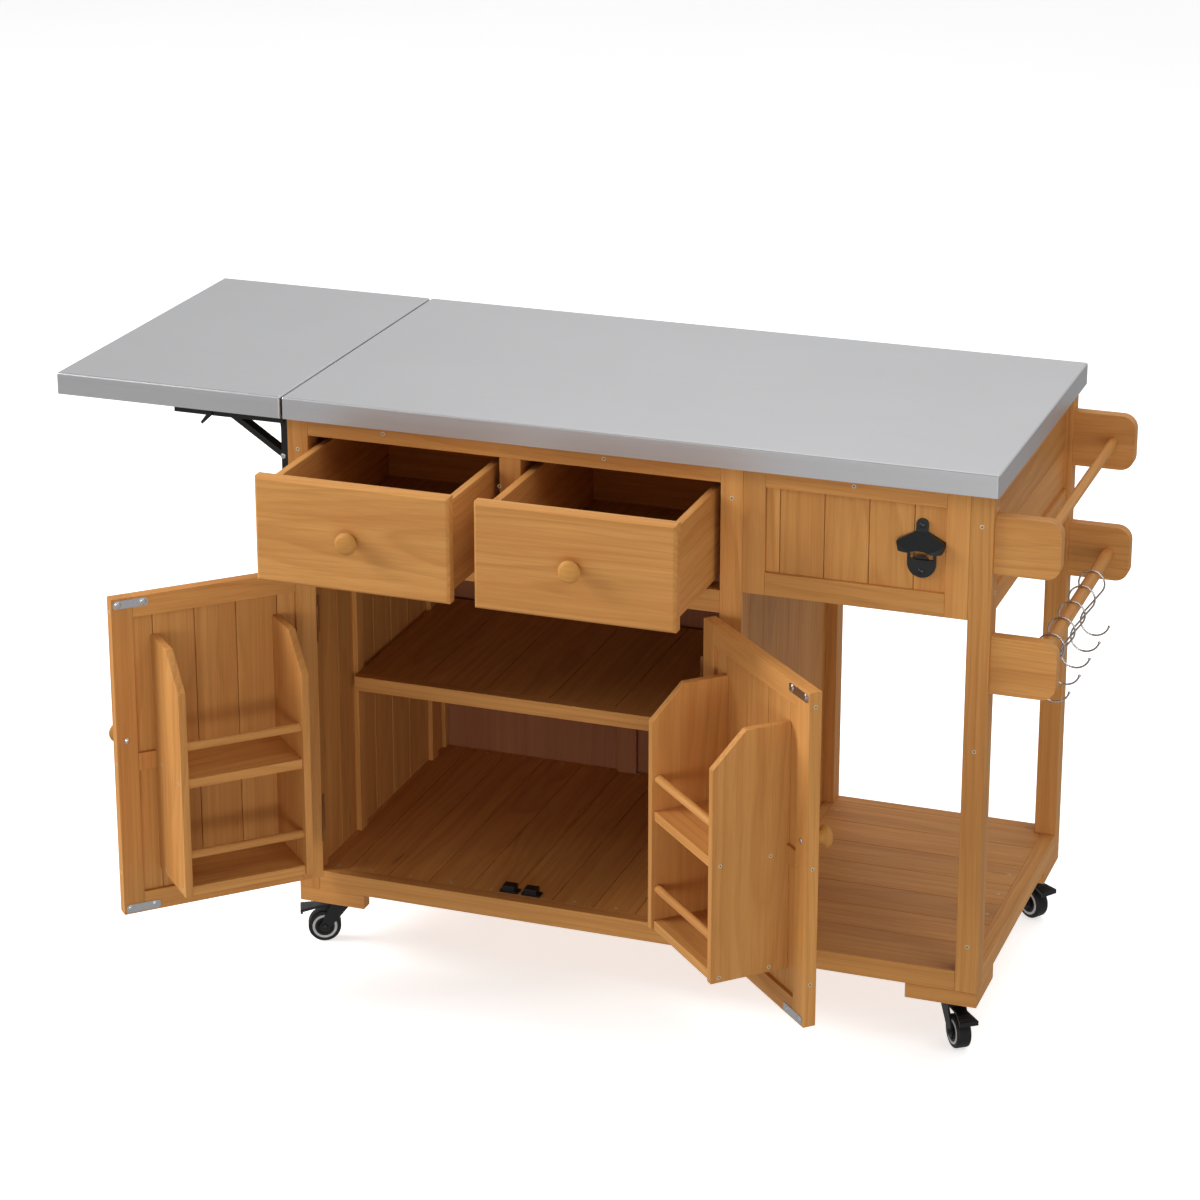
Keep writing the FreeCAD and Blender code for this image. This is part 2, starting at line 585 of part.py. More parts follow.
def drawers():
    """Two drawers on slides under their middles, standing part way out."""
    channels = []
    for name, start in (("left", "x_left + post"), ("right", "x_left + 2 * post + drawer_width")):
        face = "y_front - drawer_out"
        wide, tall = "drawer_width - 2 * front_gap", "drawer_opening - 2 * front_gap"
        front_x, front_z = f"{start} + front_gap", "z_drawer + front_gap"
        less_wide, less_tall = f"{wide} - front_chamfer", f"{tall} - front_chamfer"
        full = [("0", "0"), (wide, "0"), (wide, tall), ("0", tall)]
        small = [("front_chamfer", "front_chamfer"), (less_wide, "front_chamfer"), (less_wide, less_tall),
                 ("front_chamfer", less_tall)]
        front_board = plate(f"drawer_face_{name}", "XZ", full, "front_thickness - front_chamfer",
                            (front_x, f"{face} + front_thickness", front_z))
        bevel = doc.addObject("Part::Loft", f"drawer_bevel_{name}")
        bevel.Sections = [
            outline(f"bevel_back_{name}", "XZ", full, (front_x, f"{face} + front_chamfer", front_z)),
            outline(f"bevel_front_{name}", "XZ", small, (front_x, face, front_z)),
        ]
        bevel.Solid = True
        bevel.Ruled = True
        node(f"drawer_{name}_front", [fuse(f"drawer_front_{name}", [front_board, bevel])])

        box_x, box_w = f"{start} + side_space", "drawer_width - 2 * side_space"
        box_y, box_z = f"{face} + front_thickness", "z_drawer + front_gap + box_lift"
        node(f"drawer_{name}_box", [
            box(f"side_a_{name}", (box_x, box_y, box_z), ("box_side", "box_length", "box_height")),
            box(f"side_b_{name}", (f"{box_x} + {box_w} - box_side", box_y, box_z),
                ("box_side", "box_length", "box_height")),
            box(f"box_back_{name}", (f"{box_x} + box_side", f"{box_y} + box_length - box_side", box_z),
                (f"{box_w} - 2 * box_side", "box_side", "box_height")),
            box(f"box_base_{name}", (f"{box_x} + box_side", box_y, f"{box_z} + bottom_lift"),
                (f"{box_w} - 2 * box_side", "box_length - box_side", "box_bottom")),
        ])
        node(f"drawer_{name}_knob", [knob(f"knob_{name}", (
            f"{start} + drawer_width / 2", face, "z_drawer + drawer_opening / 2"))])

        middle = f"{start} + drawer_width / 2"
        foot = "z_drawer + channel_wall + running_gap"
        half = "(channel_width / 2 - channel_wall - running_gap)"
        run, tall = "box_length - box_side", f"{box_z} + bottom_lift - ({foot})"
        bar = box(f"runner_{name}", (f"{middle} - {half}", box_y, foot), (f"2 * {half}", run, tall))
        bar_room = box(f"runner_room_{name}", (f"{middle} - {half} + channel_wall", box_y, foot),
                       (f"2 * ({half} - channel_wall)", run, f"{tall} - channel_wall"))
        node(f"drawer_{name}_runners", [cut(f"runner_bent_{name}", bar, bar_room)])

        near, deep, wide = f"{middle} - channel_width / 2", "y_front + channel_set", "channel_width"
        long = "frame_depth - channel_set - bearer - channel_play"
        outer = box(f"channel_{name}", (near, deep, "z_drawer"), (wide, long, "channel_height"))
        room = box(f"channel_room_{name}", (f"{near} + channel_wall", deep, "z_drawer + channel_wall"),
                   (f"{wide} - 2 * channel_wall", long, "channel_height - channel_wall"))
        channels.append(cut(f"channel_bent_{name}", outer, room))
    node("drawer_channels", channels)


def doors():
    """Two framed doors with spice racks inside, standing open on butt hinges."""
    post_leaves = []
    for name, side, pivot in (("left", 1, "x_left + post + door_edge"), ("right", -1, "x_mid - door_edge")):
        def across(start, width, side=side):
            """A stretch along the door from its hinge, on the door's own side."""
            return start if side > 0 else f"-({start}) - ({width})"

        def slab(label, start, width, set_in, depth, low, tall, name=name, across=across):
            """A board of the door, by its start along the door and its depth behind the face."""
            corner = (across(start, width), f"hinge_lead + {set_in}", low)
            return box(f"{label}_{name}", corner, (width, depth, tall))

        at, turn = (pivot, "y_front - hinge_lead", "0"), "-door_open" if side > 0 else "door_open"
        node(f"door_{name}_panel", door_panel(name, slab), at, turn)
        node(f"door_{name}_rack", door_rack(name, slab, across), at, turn)
        knob_x = across("door_edge + door_width - door_stile / 2", "0")
        pull_at = (knob_x, "hinge_lead", "door_foot + door_height / 2 + mid_rail_height")
        node(f"door_{name}_knob", [knob(f"door_knob_{name}", pull_at)], at, turn)

        hardware = []
        for label, low in (("upper", "door_foot + door_height - strike_set - strike_height"),
                           ("lower", "door_foot + strike_set")):
            strip = slab(f"strike_{label}", "door_edge + door_width - strike_set - strike_length",
                         "strike_length", "door_thickness", "strike_thickness", low, "strike_height")
            thin = value("strike_thickness / 2")
            hardware.append(rounded(f"strike_plate_{label}_{name}", strip, "strike_round",
                                    lambda edge: edge.BoundBox.YLength > thin))
        for label, low in (("upper", "door_foot + door_height - hinge_inset - hinge_height"),
                           ("lower", "door_foot + hinge_inset")):
            hardware.append(door_leaf(f"{label}_{name}", slab, across, low))
            post_side = "-door_edge" if side > 0 else "door_edge - hinge_leaf"
            post_leaves.append(post_leaf(f"{label}_{name}", pivot, f"{pivot} + {post_side}", low))
        node(f"door_{name}_hardware", hardware, at, turn)
    node("door_hinges", post_leaves)
    node("magnetic_catches", catches())


def door_panel(name, slab):
    """A door's frame, its boards and the flat rail behind them."""
    inside, back = "door_width - 2 * door_stile", "door_board_set + door_board"
    field_x, field_z = "door_edge + door_stile", "door_foot + door_stile"
    pieces = [
        slab("hinge_stile", "door_edge", "door_stile", "0", "door_thickness", "door_foot", "door_height"),
        slab("lock_stile", "door_edge + door_width - door_stile", "door_stile", "0", "door_thickness",
             "door_foot", "door_height"),
        slab("top_rail", field_x, inside, "0", "door_thickness", "door_foot + door_height - door_stile",
             "door_stile"),
        slab("low_rail", field_x, inside, "0", "door_thickness", "door_foot", "door_stile"),
    ]
    rack_x = "door_edge + rack_start"
    rack_far = f"{rack_x} + rack_width"
    for index, (start, width) in enumerate((
            (field_x, f"{rack_x} - ({field_x})"),
            (f"{rack_x} + rack_panel", "rack_width - 2 * rack_panel"),
            (rack_far, f"{field_x} + {inside} - ({rack_far})"))):
        pieces.append(slab(f"mid_rail_{index + 1}", start, width, back, f"door_thickness - ({back})",
                           "door_foot + mid_rail_lift", "mid_rail_height"))
    return pieces + uneven(
        f"door_board_{name}", field_x, f"({inside})", "door",
        lambda label, start, width: slab(label, start, width, "door_board_set", "door_board", field_z,
                                         "door_height - 2 * door_stile"))


def door_rack(name, slab, across):
    """A spice rack: two end panels with a cut corner, two shelves and two round rails."""
    back = "door_board_set + door_board"
    low, nose = "door_foot + rack_lift", "hinge_lead + rack_front"
    end_points = [(f"hinge_lead + {back}", low), (nose, low), (nose, f"{low} + rack_height - rack_chamfer"),
                  (f"{nose} - rack_chamfer", f"{low} + rack_height"),
                  (f"hinge_lead + {back}", f"{low} + rack_height")]
    rack_x = "door_edge + rack_start"
    rack = []
    for label, start in (("near", rack_x), ("far", f"{rack_x} + rack_width - rack_panel")):
        end_at = (across(start, "rack_panel"), "0", "0")
        rack.append(plate(f"rack_{label}_{name}", "YZ", end_points, "rack_panel", end_at))
    bay_x, bay_wide = f"{rack_x} + rack_panel", "rack_width - 2 * rack_panel"
    for index, (lift, start) in enumerate((("0", back), ("rack_shelf_step", "door_thickness"))):
        rack.append(slab(f"rack_shelf_{index + 1}", bay_x, bay_wide, start,
                         f"rack_front - rack_rail_set - ({start})", f"{low} + {lift}", "rack_shelf"))
        rail_at = (across(bay_x, bay_wide), f"{nose} - rack_rail_set - rack_rail_radius",
                   f"{low} + {lift} + rack_rail_lift")
        rack.append(rod(f"rack_rail_{index + 1}_{name}", rail_at, "rack_rail_radius", bay_wide, "X"))
    return rack


def door_leaf(name, slab, across, low):
    """The hinge leaf on a door's edge, with the middle knuckle."""
    third = "hinge_height / 3"
    knuckle_z, knuckle_tall = f"{low} + {third} + running_gap", f"{third} - 2 * running_gap"
    edge = "door_edge - hinge_leaf"
    leaf = slab(f"leaf_{name}", edge, "hinge_leaf", "0", "hinge_width", low, "hinge_height")
    tab = box(f"tab_{name}", (across(edge, "hinge_leaf"), "0", knuckle_z),
              ("hinge_leaf", "hinge_lead", knuckle_tall))
    barrel = rod(f"knuckle_{name}", ("0", "0", knuckle_z), "knuckle_radius", knuckle_tall)
    bore = rod(f"knuckle_bore_{name}", ("0", "0", low), "pin_radius + fit_gap", "hinge_height")
    return cut(f"door_leaf_{name}", fuse(f"door_leaf_solid_{name}", [leaf, tab, barrel]), bore)


def post_leaf(name, pivot, start, low):
    """The hinge leaf on a post, with the outer knuckles and the pin."""
    third, lead = "hinge_height / 3", "y_front - hinge_lead"
    leaf_size = ("hinge_leaf", "hinge_width", "hinge_height")
    solids = [box(f"post_leaf_{name}", (start, "y_front", low), leaf_size)]
    for end, end_z in (("low", low), ("high", f"{low} + 2 * {third}")):
        solids += [
            box(f"post_tab_{end}_{name}", (start, lead, end_z), ("hinge_leaf", "hinge_lead", third)),
            rod(f"post_knuckle_{end}_{name}", (pivot, lead, end_z), "knuckle_radius", third),
        ]
    solids.append(rod(f"hinge_pin_{name}", (pivot, lead, low), "pin_radius", "hinge_height"))
    return fuse(f"post_hinge_{name}", solids)


def catches():
    """Magnetic catches with screw flanges, a pair at the foot and a pair at the head of the doors."""
    middle = "x_left + post + opening_width / 2"
    pieces = []
    for level, deep, base_z, body_z in (
            ("lower", "y_front + catch_set", "z_base_top", "z_base_top + catch_base"),
            ("upper", "y_front + catch_set", "z_door_top - catch_base", "z_door_top - catch_height")):
        for side, start in (("left", f"{middle} - catch_gap - catch_length"),
                            ("right", f"{middle} + catch_gap")):
            base = box(f"catch_base_{level}_{side}", (start, deep, base_z),
                       ("catch_length", "catch_depth", "catch_base"))
            body = box(f"catch_body_{level}_{side}", (f"{start} + catch_flange", deep, body_z),
                       ("catch_length - 2 * catch_flange", "catch_depth", "catch_height - catch_base"))
            pieces.append(fuse(f"catch_{level}_{side}", [base, body]))
    return pieces


def towel_rack():
    """Four arms with rounded ends and two bars on the right end of the frame."""
    pieces = []
    ranks = {"front": "y_front + arm_set", "rear": "y_back - arm_set - arm_board"}
    end, hair, thick = value("x_right + arm_length"), value("fit_gap"), value("arm_board / 2")
    for level in ("upper", "lower"):
        top = f"arm_{level}_top"
        for rank, deep in ranks.items():
            arm = box(f"arm_{level}_{rank}", ("x_right", deep, f"{top} - arm_height"),
                      ("arm_length", "arm_board", "arm_height"))
            pieces.append(rounded(
                f"arm_round_{level}_{rank}", arm, "arm_round",
                lambda edge: abs(edge.BoundBox.XMin - end) < hair and edge.BoundBox.YLength > thick))
        bar_at = ("x_right + bar_reach", "y_front + arm_set + arm_board", f"{top} - arm_height / 2")
        bar_long = "frame_depth - 2 * (arm_set + arm_board)"
        pieces.append(rod(f"bar_{level}", bar_at, f"bar_{level}_radius", bar_long, "Y"))
    node("towel_rack", pieces)


def hooks():
    """Five round-wire S-hooks with ball tips on the lower bar."""
    shape = hook_shape()
    for index in range(5):
        hook = doc.addObject("Part::Feature", f"hook_wire_{index + 1}")
        hook.Shape = shape
        deep = f"y_front + hook_first + {index} * hook_pitch"
        node(f"s_hook_{index + 1}", [hook], ("x_right + bar_reach", deep, "arm_lower_top - arm_height / 2"))


def hook_shape():
    """A hook about the bar's middle: its crook rests on the bar and its bowl opens away from the cart."""
    wire, ball = value("hook_wire"), value("hook_ball")
    crook, bowl = value("hook_crook"), value("hook_bowl")
    across, up = Vector(1, 0, 0), Vector(0, 0, 1)
    top = up * (value("bar_lower_radius + hook_gap") + wire - crook)
    low = top + across * value("hook_lean") - up * (value("hook_height") - crook - bowl - 2 * wire)
    way = low - top
    # The shank leaves the crook on the outer side and meets the bowl on the inner side.
    bend = math.atan2(way.z, way.x) + math.acos((crook + bowl) / way.Length)

    def on(middle, radius, angle):
        return middle + across * radius * math.cos(angle) + up * radius * math.sin(angle)

    tip, lip = math.radians(value("hook_tip_angle")), math.radians(value("hook_lip_angle"))
    path = Part.Wire([
        Part.Arc(on(top, crook, tip), on(top, crook, math.pi / 2), on(top, crook, bend)).toShape(),
        Part.makeLine(on(top, crook, bend), on(low, bowl, bend + math.pi)),
        Part.Arc(on(low, bowl, bend + math.pi), on(low, bowl, math.pi * 3 / 2), on(low, bowl, lip)).toShape(),
    ])
    first = path.Edges[0]
    circle = Part.Wire(Part.makeCircle(wire, on(top, crook, tip), first.tangentAt(first.FirstParameter)))
    bent = path.makePipeShell([circle], True, True)
    tips = [Part.makeSphere(ball, on(top, crook, tip)), Part.makeSphere(ball, on(low, bowl, lip))]
    return bent.fuse(tips).removeSplitter()


def bottle_opener():
    """Wall bottle opener: a back plate with a tab and a tongue, a bowed hood and a lifting tooth."""
    tab_z, tongue_z = "opener_length / 2 - opener_tab", "opener_tongue - opener_length / 2"
    shell = cut("opener_shell", opener_hood("outer", "0", "-opener_lip"),
                opener_hood("inner", "opener_wall", "-opener_lip - opener_wall"))
    arch = rod("opener_arch_cut", ("0", "-opener_depth", "opener_arch_rise - opener_lip - opener_arch"),
               "opener_arch", "opener_depth", "Y")
    back = fuse("opener_back", [
        plate("opener_back_hood", "XZ", hood_outline("0", "-opener_lip"), "opener_plate"),
        box("opener_strip", ("-opener_tab", "-opener_plate", "0"), ("2 * opener_tab", "opener_plate", tab_z)),
        rod("opener_tab_end", ("0", "-opener_plate", tab_z), "opener_tab", "opener_plate", "Y"),
        box("opener_tongue_top", ("-opener_tongue", "-opener_plate", tongue_z),
            ("2 * opener_tongue", "opener_plate", f"-({tongue_z})")),
        rod("opener_tongue_end", ("0", "-opener_plate", tongue_z), "opener_tongue", "opener_plate", "Y"),
    ])
    window = box("opener_window_cut", ("-opener_window", "-opener_plate", "-opener_sill"),
                 ("2 * opener_window", "opener_plate", "opener_sill + opener_window_top"))
    tip = "-opener_plate - opener_reach"
    tooth = plate("opener_tooth_lip", "YZ", [
        ("0", "-opener_sill - opener_wall"), (tip, "opener_tooth_rise - opener_sill - opener_wall"),
        (tip, "opener_tooth_rise - opener_sill"), ("0", "-opener_sill")],
        "2 * opener_tooth", ("-opener_tooth", "0", "0"))
    arched, open_back = cut("opener_arched", shell, arch), cut("opener_open_back", back, window)
    cast = fuse("opener_cast", [arched, open_back, tooth])
    node("bottle_opener", [cast], ("x_left + opener_centre", "y_front + panel_inset", "opener_height"))


def hood_outline(less, sill):
    """The opener hood seen from the front, smaller by some wall, down to a sill."""
    shoulder = (f"opener_shoulder_half - {less}", f"opener_shoulder - {less}")
    right = [("opener_tab", f"opener_rise - {less}"), shoulder, (f"opener_lip_half - {less}", sill)]
    return right + [(f"-({across})", height) for across, height in reversed(right)]


def opener_hood(name, less, sill):
    """The opener hood as a block that leans out from the wall and is bowed in plan."""
    high = f"opener_rise - {less}"
    lean = [("0", sill), ("0", high), (f"{less} - opener_plate", high), (f"{less} - opener_depth", sill)]
    return common(f"opener_hood_{name}", [
        plate(f"hood_front_{name}", "XZ", hood_outline(less, sill), "opener_depth"),
        plate(f"hood_side_{name}", "YZ", lean, "2 * opener_shoulder_half",
              ("-opener_shoulder_half", "0", "0")),
        rod(f"hood_bow_{name}", ("0", "opener_bow - opener_depth", sill), f"opener_bow - {less}",
            f"{high} - ({sill})"),
    ])


def brackets():
    """Folding brackets of the leaf: wall channels, leaf channels, struts and release levers."""
    walls, arms = [], []
    for rank, middle in (("front", "(y_front + bracket_set)"), ("rear", "(y_back - bracket_set)")):
        walls.append(wall_arm(rank, middle))
        arms.append(leaf_arm(rank, middle))

        half = "strut_thickness / 2"
        bar = [("-strut_end", f"-{half}"), ("strut_length", f"-{half}"), ("strut_length", half),
               ("-strut_end", half)]
        flat = plate(f"strut_bar_{rank}", "XZ", bar, "strut_width", ("0", f"{middle} + strut_width / 2", "0"))
        eye_low = rod(f"strut_eye_{rank}", ("0", f"{middle} - strut_width / 2", "0"), "bracket_pin + fit_gap",
                      "strut_width", "Y")
        node(f"leaf_strut_{rank}", [cut(f"strut_cut_{rank}", flat, eye_low)],
             ("x_left - strut_out", "0", "pivot_z - strut_fall"), "180 deg + atan(strut_fall / strut_run)",
             Vector(0, 1, 0))

        side = f"{middle} - arm_channel / 2 - lever_gap"
        if rank == "rear":
            side = f"{middle} + arm_channel / 2 + lever_gap + lever_thickness"
        lever = [("-lever_height / 2", "0"), ("0", "-lever_height / 2"),
                 ("lever_length", "-lever_height / 4"), ("lever_length", "lever_height / 4"),
                 ("0", "lever_height / 2")]
        blade = plate(f"lever_blade_{rank}", "XZ", lever, "lever_thickness", ("0", side, "0"))
        lever_eye = rod(f"lever_eye_{rank}", ("0", f"{side} - lever_thickness", "0"), "bracket_pin + fit_gap",
                        "lever_thickness", "Y")
        node(f"release_lever_{rank}", [cut(f"lever_{rank}", blade, lever_eye)],
             ("pivot_x - lever_set", "0", "pivot_z"), "180 - lever_angle", Vector(0, 1, 0))
    node("wall_arms", walls)
    node("leaf_arms", arms)


def wall_arm(rank, middle):
    """A channel on the post with the pins of the leaf and of the strut."""
    low = "pivot_z - wall_channel_length"
    near = f"{middle} - wall_channel / 2"
    cheek = [("0", low), ("0", "pivot_z + pivot_end"), ("-pivot_out", "pivot_z + pivot_end"),
             ("-pivot_out - pivot_end", "pivot_z"), ("-wall_channel_depth", "pivot_z - knuckle_fall"),
             ("-wall_channel_depth", low)]
    web = box(f"wall_web_{rank}", ("x_left - sheet", near, low),
              ("sheet", "wall_channel", "wall_channel_length + pivot_end"))
    cheeks = [plate(f"wall_cheek_{rank}_{index + 1}", "XZ", cheek, "sheet", ("x_left", deep, "0"))
              for index, deep in enumerate((f"{near} + sheet", f"{near} + wall_channel"))]
    leaf_pin = rod(f"leaf_pin_{rank}", ("pivot_x", f"{middle} - arm_channel / 2", "pivot_z"), "bracket_pin",
                   "arm_channel", "Y")
    strut_pin = rod(f"strut_pin_{rank}", ("x_left - strut_out", near, "pivot_z - strut_fall"), "bracket_pin",
                    "wall_channel", "Y")
    return fuse(f"wall_arm_{rank}", [web] + cheeks + [leaf_pin, strut_pin])


def leaf_arm(rank, middle):
    """A channel under the leaf, with the eye of its pivot and the rivet of the release lever."""
    near = f"{middle} - arm_channel / 2"
    start, low = "pivot_x + pivot_end - arm_channel_length", "z_under - arm_channel_depth"
    outer = box(f"leaf_channel_{rank}", (start, near, low),
                ("arm_channel_length", "arm_channel", "arm_channel_depth"))
    room = box(f"leaf_room_{rank}", (start, f"{near} + sheet", low),
               ("arm_channel_length", "arm_channel - 2 * sheet", "arm_channel_depth - sheet"))
    rivet_y = f"{near} - lever_rivet" if rank == "front" else f"{near} + arm_channel - sheet"
    rivet = rod(f"lever_rivet_{rank}", ("pivot_x - lever_set", rivet_y, "pivot_z"), "bracket_pin",
                "sheet + lever_rivet", "Y")
    eye = rod(f"leaf_eye_{rank}", ("pivot_x", near, "pivot_z"), "bracket_pin + fit_gap", "arm_channel", "Y")
    riveted = fuse(f"leaf_riveted_{rank}", [cut(f"leaf_bent_{rank}", outer, room), rivet])
    return cut(f"leaf_arm_{rank}", riveted, eye)


worktops()
frame()
walls()
shelf()
aprons()
feet()
casters()
drawers()
doors()
towel_rack()
hooks()
bottle_opener()
brackets()
doc.recompute()

for thing in doc.Objects:
    if {"Invalid", "Error"} & set(thing.State):
        raise RuntimeError(f"{thing.Name} failed: {thing.State}")
os.makedirs("parts", exist_ok=True)
for sub_part in NODES:
    if sub_part.Shape.isNull() or not sub_part.Shape.isValid():
        raise RuntimeError(f"{sub_part.Label} has no valid shape")
for sub_part in NODES:
    sub_part.Shape.exportStep(f"parts/{sub_part.Label}.step")
print(len(NODES), "nodes")
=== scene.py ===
"""Looks of the outdoor kitchen cart: oiled fir boards, a satin steel top and black fittings.

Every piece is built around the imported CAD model, in metres, in the same frame.
"""
import json
import math
import random
from collections import defaultdict

import bmesh
import bpy
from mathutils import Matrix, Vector


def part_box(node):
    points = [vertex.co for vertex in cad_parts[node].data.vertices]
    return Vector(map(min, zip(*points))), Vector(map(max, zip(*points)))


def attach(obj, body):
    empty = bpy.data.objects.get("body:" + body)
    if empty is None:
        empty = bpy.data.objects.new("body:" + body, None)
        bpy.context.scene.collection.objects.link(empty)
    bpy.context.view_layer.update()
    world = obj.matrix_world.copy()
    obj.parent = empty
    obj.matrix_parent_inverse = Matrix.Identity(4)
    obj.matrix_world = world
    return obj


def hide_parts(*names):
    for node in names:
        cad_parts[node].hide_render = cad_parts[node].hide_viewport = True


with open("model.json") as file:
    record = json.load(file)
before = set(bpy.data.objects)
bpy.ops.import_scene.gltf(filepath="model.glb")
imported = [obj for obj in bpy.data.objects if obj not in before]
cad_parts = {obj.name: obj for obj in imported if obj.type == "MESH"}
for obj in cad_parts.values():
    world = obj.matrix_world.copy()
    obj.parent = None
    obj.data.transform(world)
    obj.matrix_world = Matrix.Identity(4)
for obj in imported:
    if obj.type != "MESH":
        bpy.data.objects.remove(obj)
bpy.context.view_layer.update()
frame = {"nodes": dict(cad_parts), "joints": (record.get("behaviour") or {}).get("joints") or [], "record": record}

MM = 0.001
ACROSS, UP = Vector((1, 0, 0)), Vector((0, 0, 1))
TO_FRONT, TO_BACK = Vector((0, -1, 0)), Vector((0, 1, 0))
BODY_OF = {node: body for body, nodes in frame["record"]["behaviour"]["bodies"].items() for node in nodes}
SLOT_OF = {sub["node"]: sub["material_slot"] for sub in frame["record"]["subparts"]}
JOINT_OF = {joint["child"]: joint for joint in frame["joints"]}
CORNERS = ("front_left", "front_right", "rear_left", "rear_right")
SIDES = ("left", "right")
HOOKS = range(1, 6)
POST = 34 * MM


class Shader:
    """The node tree of a material or a world, built with short calls."""

    def __init__(self, owner):
        owner.use_nodes = True
        self.owner, self.tree = owner, owner.node_tree
        self.tree.nodes.clear()

    def feed(self, socket, given):
        """Link a socket into another, or set its value."""
        if isinstance(given, bpy.types.NodeSocket):
            self.tree.links.new(given, socket)
        else:
            socket.default_value = given

    def add(self, kind, settings=None, **inputs):
        """A node; inputs are values or sockets by name, with _ for a blank and in0 for a number."""
        made = self.tree.nodes.new("ShaderNode" + kind)
        for key, setting in (settings or {}).items():
            setattr(made, key, setting)
        for key, given in inputs.items():
            numbered = key.startswith("in") and key[2:].isdigit()
            self.feed(made.inputs[int(key[2:]) if numbered else key.replace("_", " ")], given)
        return made

    def math(self, operation, first, second=0.0):
        return self.add("Math", {"operation": operation}, in0=first, in1=second).outputs[0]

    def noise(self, vector, scale, detail=2.0, roughness=0.5):
        """Noise over a place stretched by scale, a number or one for each direction."""
        if isinstance(scale, tuple):
            vector = self.add("VectorMath", {"operation": "MULTIPLY"}, in0=vector, in1=scale).outputs[0]
            scale = 1.0
        return self.add("TexNoise", Vector=vector, Scale=scale, Detail=detail, Roughness=roughness).outputs[0]

    def swing(self, factor, reach):
        """A factor of 0 to 1 as a change of minus to plus half the reach."""
        return self.math("MULTIPLY", self.math("SUBTRACT", factor, 0.5), reach)

    def mix(self, factor, first, second):
        """A colour between two colours."""
        made = self.add("Mix", {"data_type": "RGBA"})
        for index, given in ((0, factor), (6, first), (7, second)):
            self.feed(made.inputs[index], given)
        return made.outputs[2]

    def dim(self, tint, level):
        """A colour made lighter or darker by a factor."""
        made = self.add("Mix", {"data_type": "RGBA", "blend_type": "MULTIPLY"}, in0=1.0)
        grey = self.add("CombineColor", in0=level, in1=level, in2=level).outputs[0]
        for index, given in ((6, tint), (7, grey)):
            self.feed(made.inputs[index], given)
        return made.outputs[2]

    def ramp(self, factor, stops):
        """A factor reshaped by stops, each a place and the level there."""
        made = self.add("ValToRGB", Fac=factor)
        elements = made.color_ramp.elements
        while len(elements) < len(stops):
            elements.new(1.0)
        for element, (place, level) in zip(elements, stops):
            element.position = place
            element.color = (level, level, level, 1.0)
        return made.outputs[0]

    def bump(self, height, strength, distance):
        return self.add("Bump", Height=height, Strength=strength, Distance=distance).outputs[0]

    def finish(self, **inputs):
        """Close a material with its surface."""
        shader = self.add("BsdfPrincipled", **inputs)
        self.add("OutputMaterial", Surface=shader.outputs[0])
        return self.owner


def colour(red, green, blue):
    return (red, green, blue, 1.0)


# How often each kind of figure in the wood changes in a metre: along a board, across it and into it
FIGURE = {
    "wander": (1.3, 6.0, 6.0),
    "ripple": (7.0, 45.0, 45.0),
    "strength": (2.0, 16.0, 16.0),
    "streak": (0.9, 26.0, 26.0),
    "resin": (5.0, 55.0, 55.0),
    "fibre": (12.0, 850.0, 850.0),
    "cloud": (2.5, 9.0, 9.0),
    "thread": (1.5, 210.0, 210.0),
}
WANDER_REACH, RIPPLE_REACH = 70 * MM, 3 * MM
RING_PROFILE = ((0.0, 0.05), (0.5, 0.3), (0.85, 1.0), (1.0, 0.05))
STREAK_SHARE, THREAD_SHARE = 0.5, 0.6
BOARD_TONE, CLOUD_TONE, FIBRE_TONE = 0.07, 0.30, 0.34


